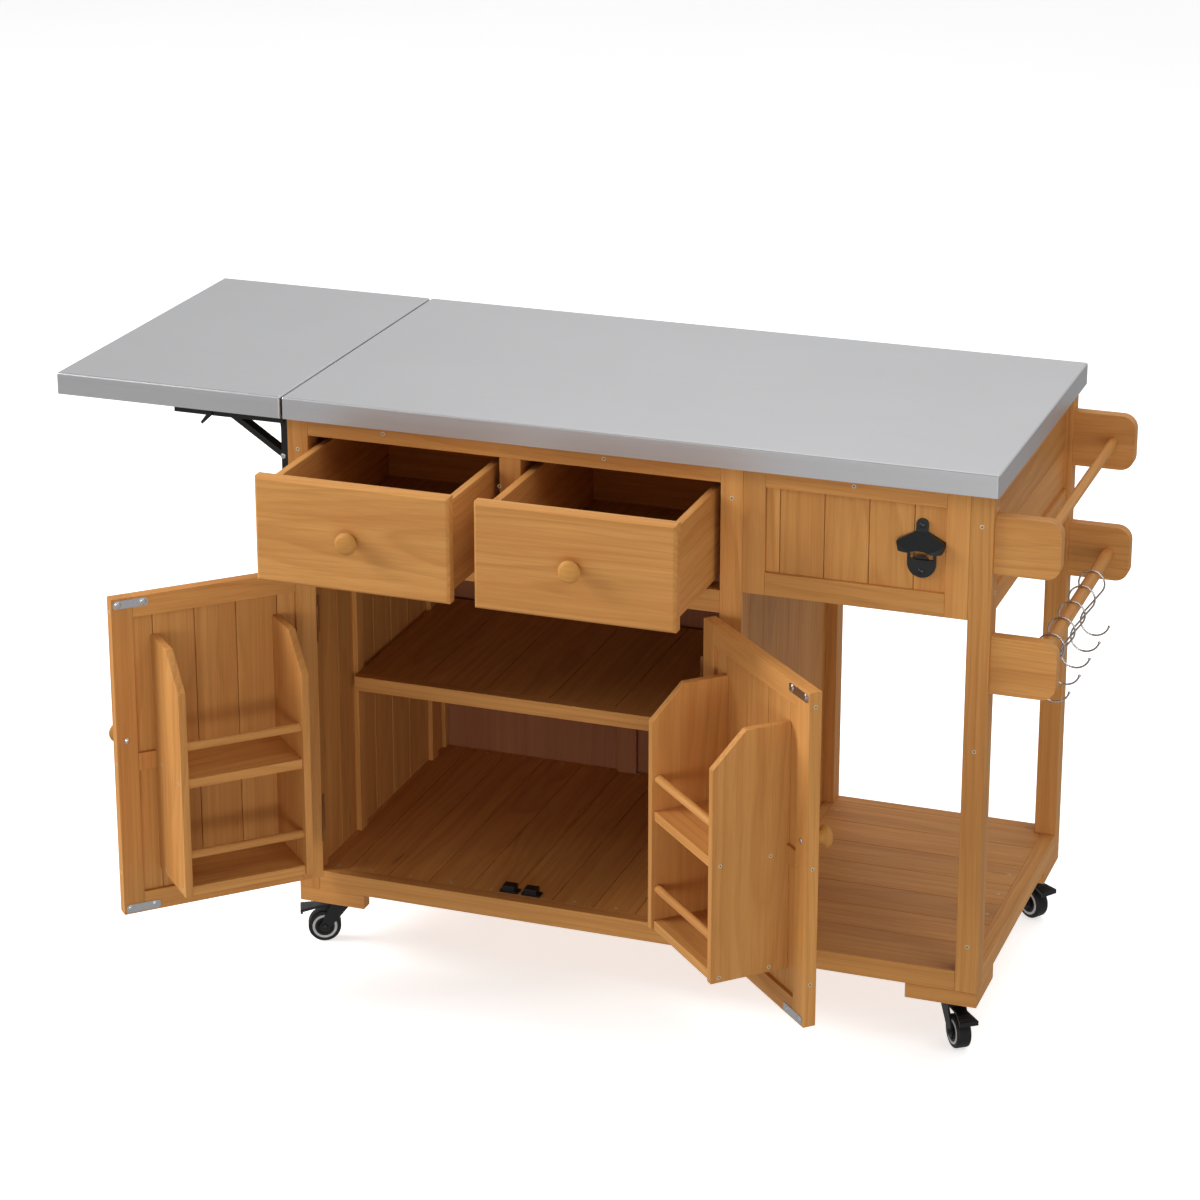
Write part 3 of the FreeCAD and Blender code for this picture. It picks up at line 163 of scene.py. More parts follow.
def wood(name, pale, dark, red, ring=11 * MM, contrast=0.6):
    """Oiled softwood: growth rings round a pith beside each board, reddish streaks, fibres and resin."""
    s = Shader(bpy.data.materials.new(name))
    place = s.add("Attribute", {"attribute_name": "grain"}).outputs["Vector"]
    tone = s.add("Attribute", {"attribute_name": "tone"}).outputs["Fac"]

    split = s.add("SeparateXYZ", Vector=place)
    across = s.math("POWER", split.outputs[1], 2.0)
    deep = s.math("POWER", split.outputs[2], 2.0)
    radius = s.math("SQRT", s.math("ADD", across, deep))
    wander = s.noise(place, FIGURE["wander"], 3.0)
    radius = s.math("ADD", radius, s.math("MULTIPLY", wander, WANDER_REACH))
    ripple = s.noise(place, FIGURE["ripple"])
    radius = s.math("ADD", radius, s.math("MULTIPLY", ripple, RIPPLE_REACH))
    phase = s.math("FRACT", s.math("DIVIDE", radius, ring))
    strength = s.noise(place, FIGURE["strength"])
    rings = s.math("MULTIPLY", s.ramp(phase, RING_PROFILE), s.math("MULTIPLY", strength, contrast))

    streak = s.ramp(s.noise(place, FIGURE["streak"], 4.0, 0.6), ((0.36, 0.0), (0.68, 1.0)))
    resin = s.ramp(s.noise(place, FIGURE["resin"]), ((0.74, 0.0), (0.80, 0.45)))
    fibre = s.noise(place, FIGURE["fibre"], 3.0, 0.6)
    cloud = s.noise(place, FIGURE["cloud"], 3.0)
    thread = s.ramp(s.noise(place, FIGURE["thread"], 3.0, 0.6), ((0.32, 1.0), (0.52, 0.0)))

    body = s.mix(rings, pale, dark)
    body = s.mix(s.math("MULTIPLY", streak, STREAK_SHARE), body, red)
    body = s.mix(s.math("MULTIPLY", thread, s.math("MULTIPLY", cloud, THREAD_SHARE)), body, dark)
    level = s.math("ADD", 1.0, s.math("MULTIPLY", tone, BOARD_TONE))
    level = s.math("ADD", level, s.swing(cloud, CLOUD_TONE))
    level = s.math("SUBTRACT", level, s.swing(fibre, FIBRE_TONE))
    level = s.math("SUBTRACT", level, resin)
    height = s.math("SUBTRACT", s.math("MULTIPLY", fibre, 0.5), s.math("MULTIPLY", rings, 0.3))
    rough = s.math("ADD", 0.46, s.math("MULTIPLY", fibre, 0.2))
    return s.finish(Base_Color=s.dim(body, level), Roughness=rough, Specular_IOR_Level=0.18,
                    Normal=s.bump(height, 0.2, 0.5 * MM))


def brushed(name, tint, rough, grain=(3.0, 420.0, 420.0), depth=0.05 * MM):
    """Satin metal with a fine directional brush and faint clouding."""
    line_tone, cloud_tone, line_gloss = 0.14, 0.06, 0.1
    s = Shader(bpy.data.materials.new(name))
    place = s.add("TexCoord").outputs["Object"]
    lines = s.noise(place, grain, 4.0, 0.65)
    cloud = s.noise(place, 5.0, 3.0)
    level = s.math("ADD", 1.0, s.swing(lines, line_tone))
    level = s.math("ADD", level, s.swing(cloud, cloud_tone))
    roughness = s.math("ADD", rough, s.swing(lines, line_gloss))
    return s.finish(Base_Color=s.dim(tint, level), Metallic=1.0, Roughness=roughness,
                    Normal=s.bump(lines, 0.25, depth))


def coated(name, tint, rough, grit, depth, specular=0.5):
    """Paint, moulded plastic, rubber or a casting: a fine grit and a faint mottle."""
    mottle_size, mottle_tone, grit_gloss = 40, 0.5, 0.16
    s = Shader(bpy.data.materials.new(name))
    place = s.add("TexCoord").outputs["Object"]
    fine = s.noise(place, grit, 3.0, 0.6)
    cloud = s.noise(place, grit / mottle_size, 3.0)
    level = s.math("ADD", 1.0, s.swing(cloud, mottle_tone))
    roughness = s.math("ADD", rough, s.swing(fine, grit_gloss))
    return s.finish(Base_Color=s.dim(tint, level), Roughness=roughness, Specular_IOR_Level=specular,
                    Normal=s.bump(fine, 0.3, depth))


LOOKS = {
    "fir": wood("oiled_fir", colour(0.67, 0.325, 0.094), colour(0.42, 0.157, 0.036),
                colour(0.50, 0.190, 0.047)),
    "knob_wood": wood("turned_fir", colour(0.58, 0.28, 0.07), colour(0.44, 0.19, 0.04),
                      colour(0.50, 0.22, 0.05), ring=7 * MM),
    "plywood": wood("back_ply", colour(0.36, 0.14, 0.062), colour(0.25, 0.09, 0.04),
                    colour(0.30, 0.10, 0.045), ring=20 * MM, contrast=0.4),
    "core_board": coated("core_paint", colour(0.035, 0.030, 0.027), 0.6, 600.0, 0.2 * MM),
    "stainless": brushed("satin_steel", colour(0.57, 0.57, 0.58), 0.42),
    "black_steel": coated("black_powder", colour(0.010, 0.0095, 0.0095), 0.40, 1500.0, 0.08 * MM, 0.35),
    "zinc": brushed("zinc_plate", colour(0.66, 0.66, 0.67), 0.24, (60.0, 300.0, 300.0)),
    "black_plastic": coated("black_moulding", colour(0.008, 0.008, 0.0085), 0.36, 1200.0, 0.06 * MM, 0.4),
    "tyre_black": coated("tyre_rubber", colour(0.010, 0.010, 0.0105), 0.5, 900.0, 0.12 * MM, 0.3),
    "cast_black": coated("cast_enamel", colour(0.010, 0.011, 0.012), 0.30, 700.0, 0.10 * MM),
    "chrome": brushed("chrome_wire", colour(0.58, 0.57, 0.57), 0.14, (40.0, 40.0, 40.0), 0.01 * MM),
}
SCREW_METAL = coated("screw_plate", colour(0.62, 0.54, 0.35), 0.34, 900.0, 0.04 * MM, 0.8)
# A screw's recess is the same plated metal; this dark colour is painted shade for the pit
SCREW_PAINTED_SHADE = coated("screw_recess", colour(0.05, 0.045, 0.035), 0.6, 900.0, 0.05 * MM)
HINGE_METAL = coated("hinge_bronze", colour(0.30, 0.135, 0.05), 0.42, 700.0, 0.06 * MM)
RING_GREY = coated("ring_grey", colour(0.56, 0.53, 0.53), 0.45, 900.0, 0.05 * MM)

# Points of a CAD mesh that agree to half a micrometre are one point
WELD = 2e6
FLAT, SHARP = math.radians(1.0), math.radians(35)
# The ways a board may lie: square to the cart, or with a door that stands open
BOARD_FRAMES = [
    (ACROSS, TO_BACK, UP),
    (Vector((1, 1, 0)).normalized(), Vector((1, -1, 0)).normalized(), UP),
]
# Edges are rounded by a width, in so many segments
BOARD_EDGE, ARM_EDGE = (0.9 * MM, 2), (2.4 * MM, 4)
STEEL_EDGE, OPENER_EDGE, FITTING_EDGE = (1.2 * MM, 3), (1.4 * MM, 3), (0.5 * MM, 3)
HINGE_EDGE, STRIKE_EDGE = (0.3 * MM, 2), (0.4 * MM, 2)
# The rack's bars run deeper than this, its arms don't
ARM_DEPTH = 50 * MM


def split_solids(node):
    """The closed solids of a CAD node, each as points and faces, welded inside itself only."""
    mesh = frame["nodes"][node].data
    number, place, ids = {}, [], []
    for vertex in mesh.vertices:
        key = tuple(round(c * WELD) for c in vertex.co)
        if key not in number:
            number[key] = len(place)
            place.append(vertex.co.copy())
        ids.append(number[key])
    faces = [tuple(ids[i] for i in polygon.vertices) for polygon in mesh.polygons]
    faces = [face for face in faces if len(set(face)) == len(face)]
    meets = defaultdict(list)
    for index, face in enumerate(faces):
        for a, b in zip(face, face[1:] + face[:1]):
            meets[frozenset((a, b))].append(index)
    leader = list(range(len(faces)))

    def find(index):
        while leader[index] != index:
            leader[index] = leader[leader[index]]
            index = leader[index]
        return index

    for pair in meets.values():
        if len(pair) == 2:
            leader[find(pair[0])] = find(pair[1])
    groups = defaultdict(list)
    for index, face in enumerate(faces):
        groups[find(index)].append([place[i] for i in face])
    return list(groups.values())


def corners_of(faces):
    return [corner for face in faces for corner in face]


def all_corners(node):
    return [corner for faces in split_solids(node) for corner in corners_of(faces)]


def span(points, axis):
    """How far some points reach along an axis."""
    along = [axis.dot(p) for p in points]
    return min(along), max(along)


def length(points, axis):
    low, high = span(points, axis)
    return high - low


def middle_of(points):
    return Vector([sum(span(points, axis)) / 2 for axis in (ACROSS, TO_BACK, UP)])


def box_of(node):
    return [Vector(corner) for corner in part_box(node)]


def solid_mesh(faces, bevel, segments):
    """One solid as a bmesh with flat faces joined and its sharp edges rounded."""
    bm = bmesh.new()
    made = {}
    for face in faces:
        for corner in face:
            key = corner.to_tuple(7)
            if key not in made:
                made[key] = bm.verts.new(corner)
        bm.faces.new([made[corner.to_tuple(7)] for corner in face])
    bmesh.ops.dissolve_limit(bm, angle_limit=FLAT, verts=bm.verts, edges=bm.edges)
    sharp = [e for e in bm.edges if len(e.link_faces) == 2 and e.calc_face_angle() > SHARP]
    bmesh.ops.bevel(bm, geom=sharp, offset=bevel, offset_type="OFFSET", segments=segments, profile=0.5,
                    affect="EDGES", clamp_overlap=True)
    return bm


def long_frame(points):
    """The tightest of the known frames round some points, with the longest way first."""
    clearly_less = 0.999
    best = None
    for axes in BOARD_FRAMES:
        spans = [(length(points, axis), axis) for axis in axes]
        room = spans[0][0] * spans[1][0] * spans[2][0]
        if best is None or room < best[0] * clearly_less:
            best = (room, sorted(spans, key=lambda item: -item[0]))
    return [axis for _, axis in best[1]]


def grain_layers(bm, label, grain=None):
    """Write where each point lies in its own board, along, across and deep, with the pith set aside."""
    draw = random.Random(label)
    points = [v.co for v in bm.verts]
    along, across, deep = long_frame(points)
    if grain is not None:
        rest = [axis for axis in (along, across, deep) if abs(axis.dot(grain)) < 0.9]
        along, across, deep = grain, rest[0], rest[1]
    middle = middle_of(points)
    start, shade = draw.uniform(-20, 20), draw.uniform(-1, 1)
    aside, below = draw.uniform(-50 * MM, 50 * MM), draw.uniform(30 * MM, 90 * MM)
    lean = draw.uniform(-0.03, 0.03)
    place = bm.verts.layers.float_vector.new("grain")
    tone = bm.verts.layers.float.new("tone")
    for vertex in bm.verts:
        way = vertex.co - middle
        run = way.dot(along)
        offset = lean * run
        vertex[place] = Vector((start + run, way.dot(across) + aside + offset,
                                way.dot(deep) + below + offset))
        vertex[tone] = shade


def join(parts):
    """Several bmeshes as one, with their layers kept; the parts are used up."""
    whole = bmesh.new()
    for bm in parts:
        mesh = bpy.data.meshes.new("part")
        bm.to_mesh(mesh)
        bm.free()
        whole.from_mesh(mesh)
        bpy.data.meshes.remove(mesh)
    return whole


def show(name, bm, body, slot, looks=None, replaced=None):
    """Put a finished bmesh in the scene, riding on a body."""
    mesh = bpy.data.meshes.new(name)
    for face in bm.faces:
        face.smooth = True
    bm.to_mesh(mesh)
    bm.free()
    for look in looks or (LOOKS[slot],):
        mesh.materials.append(look)
    piece = bpy.data.objects.new(name, mesh)
    bpy.context.scene.collection.objects.link(piece)
    piece.modifiers.new("even_normals", "WEIGHTED_NORMAL").keep_sharp = True
    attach(piece, body)
    if replaced:
        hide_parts(replaced)


def boards(node):
    """Stand in for a wooden node: its own boards with eased edges and grain; towel arms are rounder."""
    parts = []
    for index, faces in enumerate(split_solids(node)):
        arm = node == "towel_rack" and length(corners_of(faces), TO_BACK) < ARM_DEPTH
        parts.append(solid_mesh(faces, *(ARM_EDGE if arm else BOARD_EDGE)))
        grain_layers(parts[-1], f"{node}{index}")
    show(node + "_boards", join(parts), BODY_OF[node], SLOT_OF[node], replaced=node)


def dressed(node, edge, look=None, chosen=None, suffix="_dressed"):
    """Stand in for a metal or plastic node: its own solids, or the chosen ones, with rounded edges."""
    solids = [faces for faces in split_solids(node) if chosen is None or chosen(faces)]
    parts = [solid_mesh(faces, *edge) for faces in solids]
    show(node + suffix, join(parts), BODY_OF[node], SLOT_OF[node], look and (look,), node)


def lathe(bm, base, axis, profile, count=40):
    """Turn a profile of (radius, height) pairs about an axis that starts at base."""
    axis = axis.normalized()
    side = axis.orthogonal().normalized()
    other = axis.cross(side)
    rings = []
    for radius, height in profile:
        centre = base + axis * height
        turns = [math.tau * i / count for i in range(count if radius else 1)]
        rings.append([bm.verts.new(centre + (side * math.cos(t) + other * math.sin(t)) * radius)
                      for t in turns])
    for low, high in zip(rings, rings[1:]):
        for i in range(count):
            j = (i + 1) % count
            loop = (low[i % len(low)], low[j % len(low)], high[j % len(high)], high[i % len(high)])
            bm.faces.new(list(dict.fromkeys(loop)))


def arc(middle, radius, start, end, steps):
    """Points of a circle's part as (radius, height) pairs or flat places, by angle in degrees."""
    turns = [math.radians(start + (end - start) * i / steps) for i in range(steps + 1)]
    return [(middle[0] + radius * math.cos(t), middle[1] + radius * math.sin(t)) for t in turns]


def dome(bm, at, axis, radius, height):
    """A rivet head: a low dome with a short straight rim, standing on a face."""
    sunk, rim, steps = -0.2 * MM, 0.3, 6
    rise = [(radius * math.cos(t), height * (rim + (1 - rim) * math.sin(t)))
            for t in (math.radians(15 * i) for i in range(steps))]
    lathe(bm, at, axis, [(0, sunk), (radius, sunk)] + rise + [(0, height)], 24)


def screw(bm, at, axis, radius, turn):
    """A countersunk cross-head screw, almost flush; its recess takes the second material, a dark colour that
    paints the shade in the shallow pit.
    """
    points = 24
    sunk, rim, crown, recess = -0.3 * MM, 0.06 * MM, 0.22 * MM, 0.05 * MM
    cross_long, cross_wide = 0.55 * radius, 0.17 * radius
    axis = axis.normalized()
    side = axis.orthogonal().normalized()
    other = axis.cross(side)

    def ring(height, reach):
        made = []
        for i in range(points):
            t = math.tau * i / points
            way = side * math.cos(t + turn) + other * math.sin(t + turn)
            made.append(bm.verts.new(at + way * reach(t) + axis * height))
        return made

    def cross(t):
        along, aside = abs(math.cos(t)), abs(math.sin(t))
        big, small = max(along, aside), min(along, aside)
        return min(cross_long / big, cross_wide / small if small else cross_long)

    loops = [
        ring(sunk, lambda t: radius),
        ring(rim, lambda t: radius),
        ring(crown, lambda t: 0.86 * radius),
        ring(crown, cross),
        ring(recess, lambda t: 0.8 * cross(t)),
    ]
    # The recess's walls and floor take the dark colour that paints the pit's shade
    last = len(loops) - 2
    for step, (low, high) in enumerate(zip(loops, loops[1:])):
        for i in range(points):
            j = (i + 1) % points
            face = bm.faces.new((low[i], low[j], high[j], high[i]))
            face.material_index = 1 if step == last else 0
    bm.faces.new(loops[-1]).material_index = 1


def screws(name, body, places, radius=3.2 * MM):
    """A set of screws on one body; each place is a point and the way out of its face."""
    turn = 0.7
    bm = bmesh.new()
    for index, (at, axis) in enumerate(places):
        screw(bm, at, axis, radius, turn * index)
    show(name, bm, body, "zinc", (SCREW_METAL, SCREW_PAINTED_SHADE))


def hook_piece(number):
    """A chrome wire hook with ball ends: a crook over the bar, a shank and a bowl that opens outwards."""
    wire, ball = 1.5 * MM, 2.3 * MM
    crook, bowl = 20 * MM, 22.5 * MM
    rest, height, lean = 10.4 * MM, 107 * MM, 8 * MM
    tip, lip = 200, 345
    bends, around = 24, 12
    node = f"s_hook_{number}"
    bar = Vector(JOINT_OF[f"hook_{number}"]["pos_m"])
    low, high = box_of(node)
    bar.y = (low.y + high.y) / 2
    top = (0, rest + wire - crook)
    foot = (lean, top[1] - (height - crook - bowl - 2 * wire))
    way = math.hypot(foot[0] - top[0], foot[1] - top[1])
    bend = math.degrees(math.atan2(foot[1] - top[1], foot[0] - top[0]) + math.acos((crook + bowl) / way))
    flat = arc(top, crook, tip, bend, bends) + arc(foot, bowl, bend + 180, lip, bends)
    path = [bar + ACROSS * x + UP * z for x, z in flat]
    bm = bmesh.new()
    rings = []
    for i, point in enumerate(path):
        ahead = (path[min(i + 1, len(path) - 1)] - path[max(i - 1, 0)]).normalized()
        aside = ahead.cross(TO_BACK)
        turns = [math.tau * k / around for k in range(around)]
        rings.append([bm.verts.new(point + (aside * math.cos(t) + TO_BACK * math.sin(t)) * wire)
                      for t in turns])
    for before, after in zip(rings, rings[1:]):
        for i in range(around):
            j = (i + 1) % around
            bm.faces.new((before[i], after[i], after[j], before[j]))
    for end in (path[0], path[-1]):
        rounds = [(0, -ball)] + arc((0, 0), ball, -90, 90, 8)[1:-1] + [(0, ball)]
        lathe(bm, end, ACROSS, rounds, 16)
    bmesh.ops.recalc_face_normals(bm, faces=bm.faces)
    show(f"wire_hook_{number}", bm, BODY_OF[node], "chrome", replaced=node)


def knob_piece(node, axis):
    """A turned knob: a waisted neck, a round shoulder and a crowned face with a turned line."""
    points = all_corners(node)
    low, high = span(points, axis)
    base = middle_of(points)
    base += axis * (low - axis.dot(base))
    deep, neck = high - low, 9 * MM
    radius = max(length(points, UP), length(points, ACROSS)) / 2
    profile = [(0, 0), (neck, 0), (0.93 * neck, 0.2 * deep), (neck, 0.42 * deep), (0.8 * radius, 0.55 * deep)]
    profile += arc((0.93 * radius, 0.72 * deep), 0.07 * radius, -60, 60, 6)
    profile += [(share * radius, tall * deep) for share, tall in
                ((0.86, 0.86), (0.74, 0.94), (0.70, 0.94), (0.45, 0.985), (0, 1))]
    bm = bmesh.new()
    lathe(bm, base, axis, profile, 48)
    grain_layers(bm, node, UP if abs(axis.x) > 0.5 else ACROSS)
    show(node + "_turned", bm, BODY_OF[node], "knob_wood", replaced=node)


def wheel_pieces(corner):
    """A tyre with round shoulders and a sunk hub, and the pale ring on both of its sides."""
    node, body = f"caster_wheel_{corner}", f"wheel_{corner}"
    radius, half, shoulder = 26 * MM, 11 * MM, 3.5 * MM
    bore, hub, sunk = 4.1 * MM, 12 * MM, 2 * MM
    fillet, ease = 0.6 * MM, 0.4 * MM
    ring_in, ring_out, proud = 15.7 * MM, 19.6 * MM, 0.3 * MM
    around = 56
    low, high = box_of(node)
    middle = (low + high) / 2
    axle = Vector(JOINT_OF[body]["axis"])
    near = [(bore, half - sunk), (hub - fillet, half - sunk), (hub, half - sunk + fillet), (hub, half - ease),
            (hub + ease, half)]
    near += arc((radius - shoulder, half - shoulder), shoulder, 90, 0, 6)
    far = [(r, -h) for r, h in reversed(near)]
    tyre = bmesh.new()
    lathe(tyre, middle, axle, list(reversed(near + far)) + [far[-1]], around)
    bmesh.ops.remove_doubles(tyre, verts=tyre.verts, dist=MM / 1000)
    bmesh.ops.recalc_face_normals(tyre, faces=tyre.faces)
    show(f"tyre_{corner}", tyre, body, "tyre_black", replaced=node)

    rings = bmesh.new()
    for way in (axle, -axle):
        lathe(rings, middle, way, [(ring_out, half - proud), (ring_out, half + proud / 2),
                                   (ring_out - proud, half + proud), (ring_in + proud, half + proud),
                                   (ring_in, half + proud / 2), (ring_in, half - proud)], around)
    show(f"wheel_rings_{corner}", rings, body, "zinc", (RING_GREY,))


def axle_caps(corner):
    """Low caps on both cheeks of a caster's fork."""
    radius, height = 5 * MM, 1.4 * MM
    low, high = box_of(f"caster_wheel_{corner}")
    hub = (low + high) / 2
    axle = Vector(JOINT_OF[f"wheel_{corner}"]["axis"])
    cheeks = corners_of(split_solids(f"caster_fork_{corner}")[0])
    caps = bmesh.new()
    for way in (axle, -axle):
        dome(caps, hub + way * (span(cheeks, way)[1] - way.dot(hub)), way, radius, height)
    show(f"axle_caps_{corner}", caps, f"fork_{corner}", "black_steel")


def pedal_ribs(corner):
    """Ribs across a brake pedal's tread, which falls towards its tip."""
    count, first, pitch = 4, 4 * MM, 4.5 * MM
    widest, taper = 14 * MM, 0.2
    fall, run = 4 * MM, 29 * MM
    section = [(-0.9 * MM, -0.5 * MM), (0.9 * MM, -0.5 * MM), (0.5 * MM, 0.9 * MM), (-0.5 * MM, 0.9 * MM)]
    low, high = box_of(f"caster_wheel_{corner}")
    hub = (low + high) / 2
    swivel = Vector(JOINT_OF[f"fork_{corner}"]["pos_m"])
    swivel.z = 0
    ahead = Vector((hub.x - swivel.x, hub.y - swivel.y, 0)).normalized()
    aside = UP.cross(ahead)
    tread = corners_of(split_solids(f"brake_pedal_{corner}")[0])
    reach, top = span(tread, ahead)[1], span(tread, UP)[1]
    ribs = []
    for step in range(count):
        back = first + pitch * step
        half = widest - taper * back
        centre = swivel - ahead * ahead.dot(swivel) + ahead * (reach - back)
        centre.z = top - fall + fall / run * back
        rib = bmesh.new()
        ends = [[rib.verts.new(centre + aside * sign * half + ahead * x + UP * z) for x, z in section]
                for sign in (-1, 1)]
        for i in range(len(section)):
            j = (i + 1) % len(section)
            rib.faces.new((ends[0][i], ends[0][j], ends[1][j], ends[1][i]))
        rib.faces.new(list(reversed(ends[0])))
        rib.faces.new(ends[1])
        bmesh.ops.recalc_face_normals(rib, faces=rib.faces)
        ribs.append(rib)
    show(f"pedal_ribs_{corner}", join(ribs), f"pedal_{corner}", "black_plastic")


class Door:
    """A door as it stands open: the ways along it and out of its outer face, and where its faces lie."""

    def __init__(self, side):
        self.side, self.body = side, f"door_{side}"
        panel = all_corners(f"{self.body}_panel")
        turn = math.radians(45)
        sign = -1 if side == "left" else 1
        self.along = Vector((sign * math.cos(turn), -math.sin(turn), 0))
        self.out = Vector((sign * math.cos(turn), math.sin(turn), 0))
        self.edge = span(panel, self.along)[1]
        self.inner, self.outer = span(panel, self.out)
        self.low, self.high = span(panel, UP)

    def place(self, along, out, height):
        return self.along * along + self.out * out + UP * height


def door_screws(door):
    """Screws in a door's free edge and in both end panels of its rack."""
    middle = (door.inner + door.outer) / 2
    heights = (door.high - 22 * MM, door.high - 267 * MM, door.low + 66 * MM)
    places = [(door.place(door.edge, middle, z), door.along) for z in heights]
    rack = all_corners(f"{door.body}_rack")
    start, end = span(rack, door.along)
    front, back = span(rack, door.out)
    foot = span(rack, UP)[0]
    for height in (8 * MM, 181 * MM):
        for deep in (front + 13 * MM, back - 30 * MM):
            places.append((door.place(end, deep, foot + height), door.along))
            places.append((door.place(start, deep, foot + height), -door.along))
    screws(f"door_screws_{door.side}", door.body, places, 3.0 * MM)


def knob_bolt(door):
    """The round head of the knob's bolt, with its washer, on the door's inner face."""
    sunk, washer, shank = -0.2 * MM, 4.8 * MM, 3.6 * MM
    profile = [(0, sunk), (washer, sunk), (washer, 0.4 * MM), (washer - 0.4 * MM, 0.7 * MM),
               (shank, 0.7 * MM), (shank - 0.2 * MM, 1.2 * MM), (shank - 1.4 * MM, 1.7 * MM), (0, 1.8 * MM)]
    knob = middle_of(all_corners(f"{door.body}_knob"))
    bolt = bmesh.new()
    lathe(bolt, door.place(door.along.dot(knob), door.inner, knob.z), -door.out, profile, 28)
    show(f"knob_bolt_{door.side}", bolt, door.body, "zinc")


def is_strike(faces):
    """Strike plates lie long and low; hinge leaves stand."""
    return length(corners_of(faces), UP) < 20 * MM


def door_hardware(door):
    """Strike plates with two rivets each, in a sunk ring, and the hinge leaves."""
    inset, head, tall = 7.5 * MM, 4.4 * MM, 1.1 * MM
    collar = [(5.6 * MM, -0.1 * MM), (5.6 * MM, 0.25 * MM), (head, 0.25 * MM)]
    node = f"{door.body}_hardware"
    rivets = bmesh.new()
    for faces in filter(is_strike, split_solids(node)):
        points = corners_of(faces)
        first, last = span(points, door.along)
        face = span(points, door.out)[0]
        for along in (first + inset, last - inset):
            at = door.place(along, face, middle_of(points).z)
            dome(rivets, at, -door.out, head, tall)
            lathe(rivets, at, -door.out, collar, 24)
    show(f"strike_rivets_{door.side}", rivets, door.body, "zinc")
    dressed(node, STRIKE_EDGE, chosen=is_strike, suffix="_strikes")
    dressed(node, HINGE_EDGE, HINGE_METAL, lambda faces: not is_strike(faces), "_hinges")


def bracket_rivets():
    """Flat rivets on each wall channel's cheeks, at the strut's foot; the leaf's channel passes over them."""
    radius, height, near = 4.2 * MM, 0.7 * MM, 50 * MM
    channels = [corners_of(faces) for faces in split_solids("wall_arms")]
    for rank in ("front", "rear"):
        x, _, z = JOINT_OF[f"leaf_strut_{rank}"]["pos_m"]
        strut = middle_of(corners_of(split_solids(f"leaf_strut_{rank}")[0]))
        own = [points for points in channels if abs(middle_of(points).y - strut.y) < near]
        channel = max(own, key=lambda points: length(points, UP))
        low, high = span([p for p in channel if p.z < z], TO_BACK)
        bm = bmesh.new()
        dome(bm, Vector((x, low, z)), TO_FRONT, radius, height)
        dome(bm, Vector((x, high, z)), TO_BACK, radius, height)
        show(f"bracket_rivets_{rank}", bm, "cabinet", "zinc")


def frame_screws():
    """Screws on the front of the frame, and beside the towel arms."""
    low, high = box_of("posts")
    frame_low, frame_high = box_of("drawer_frame")
    left, right, bay = low.x + POST / 2, high.x - POST / 2, frame_high.x + POST / 2
    rail = (frame_low.x + frame_high.x) / 2
    # Places from the left, and how far below the posts' top
    front = [(left, 51 * MM), (rail - 186 * MM, 12 * MM), (rail + 164 * MM, 12 * MM), (rail, 73 * MM),
             (bay, 50 * MM), (bay + 182 * MM, 11 * MM),
             (right, 50 * MM), (right, 393 * MM), (right, 703 * MM)]
    places = [(Vector((x, low.y, high.z - drop)), TO_FRONT) for x, drop in front]
    for back, drop in ((20 * MM, 28 * MM), (25 * MM, 155 * MM)):
        places.append((Vector((high.x, low.y + back, high.z - drop)), ACROSS))
    screws("frame_screws", "cabinet", places)


def floor_screws():
    """Screws near the ends of the floors' boards, where no post stands on them."""
    bay_inset, cabinet_inset, clear_of_posts = 13 * MM, 9 * MM, 190 * MM
    low, high = box_of("posts")
    places = []
    for faces in split_solids("bay_floor"):
        points = corners_of(faces)
        y, surface = middle_of(points).y, span(points, UP)[1]
        first, last = span(points, ACROSS)
        places.append((Vector((first + bay_inset, y, surface)), UP))
        if abs(y - (low.y + high.y) / 2) < clear_of_posts:
            places.append((Vector((last - bay_inset, y, surface)), UP))
    for faces in split_solids("cabinet_floor"):
        points = corners_of(faces)
        x, surface = middle_of(points).x, span(points, UP)[1]
        first, last = span(points, TO_BACK)
        for y in (first + cabinet_inset, last - cabinet_inset):
            places.append((Vector((x, y, surface)), UP))
    screws("floor_screws", "cabinet", places, 2.4 * MM)


def drawer_screws(side):
    """Two screws through each side of a drawer into its front."""
    inset = 9 * MM
    body = f"drawer_{side}"
    low, high = box_of(body + "_box")
    places = []
    for share in (0.22, 0.78):
        y, z = low.y + inset, low.z + share * (high.z - low.z)
        places.append((Vector((low.x, y, z)), -ACROSS))
        places.append((Vector((high.x, y, z)), ACROSS))
    screws(f"drawer_screws_{side}", body, places, 2.4 * MM)


def opener_screws():
    """Two black screws through the opener's tab and tongue."""
    plate, radius, height = 4 * MM, 4.4 * MM, 1.8 * MM
    low, high = box_of("bottle_opener")
    bm = bmesh.new()
    for z in (high.z - 10 * MM, low.z + 9 * MM):
        dome(bm, Vector(((low.x + high.x) / 2, high.y - plate, z)), TO_FRONT, radius, height)
    show("opener_screws", bm, "cabinet", "cast_black")


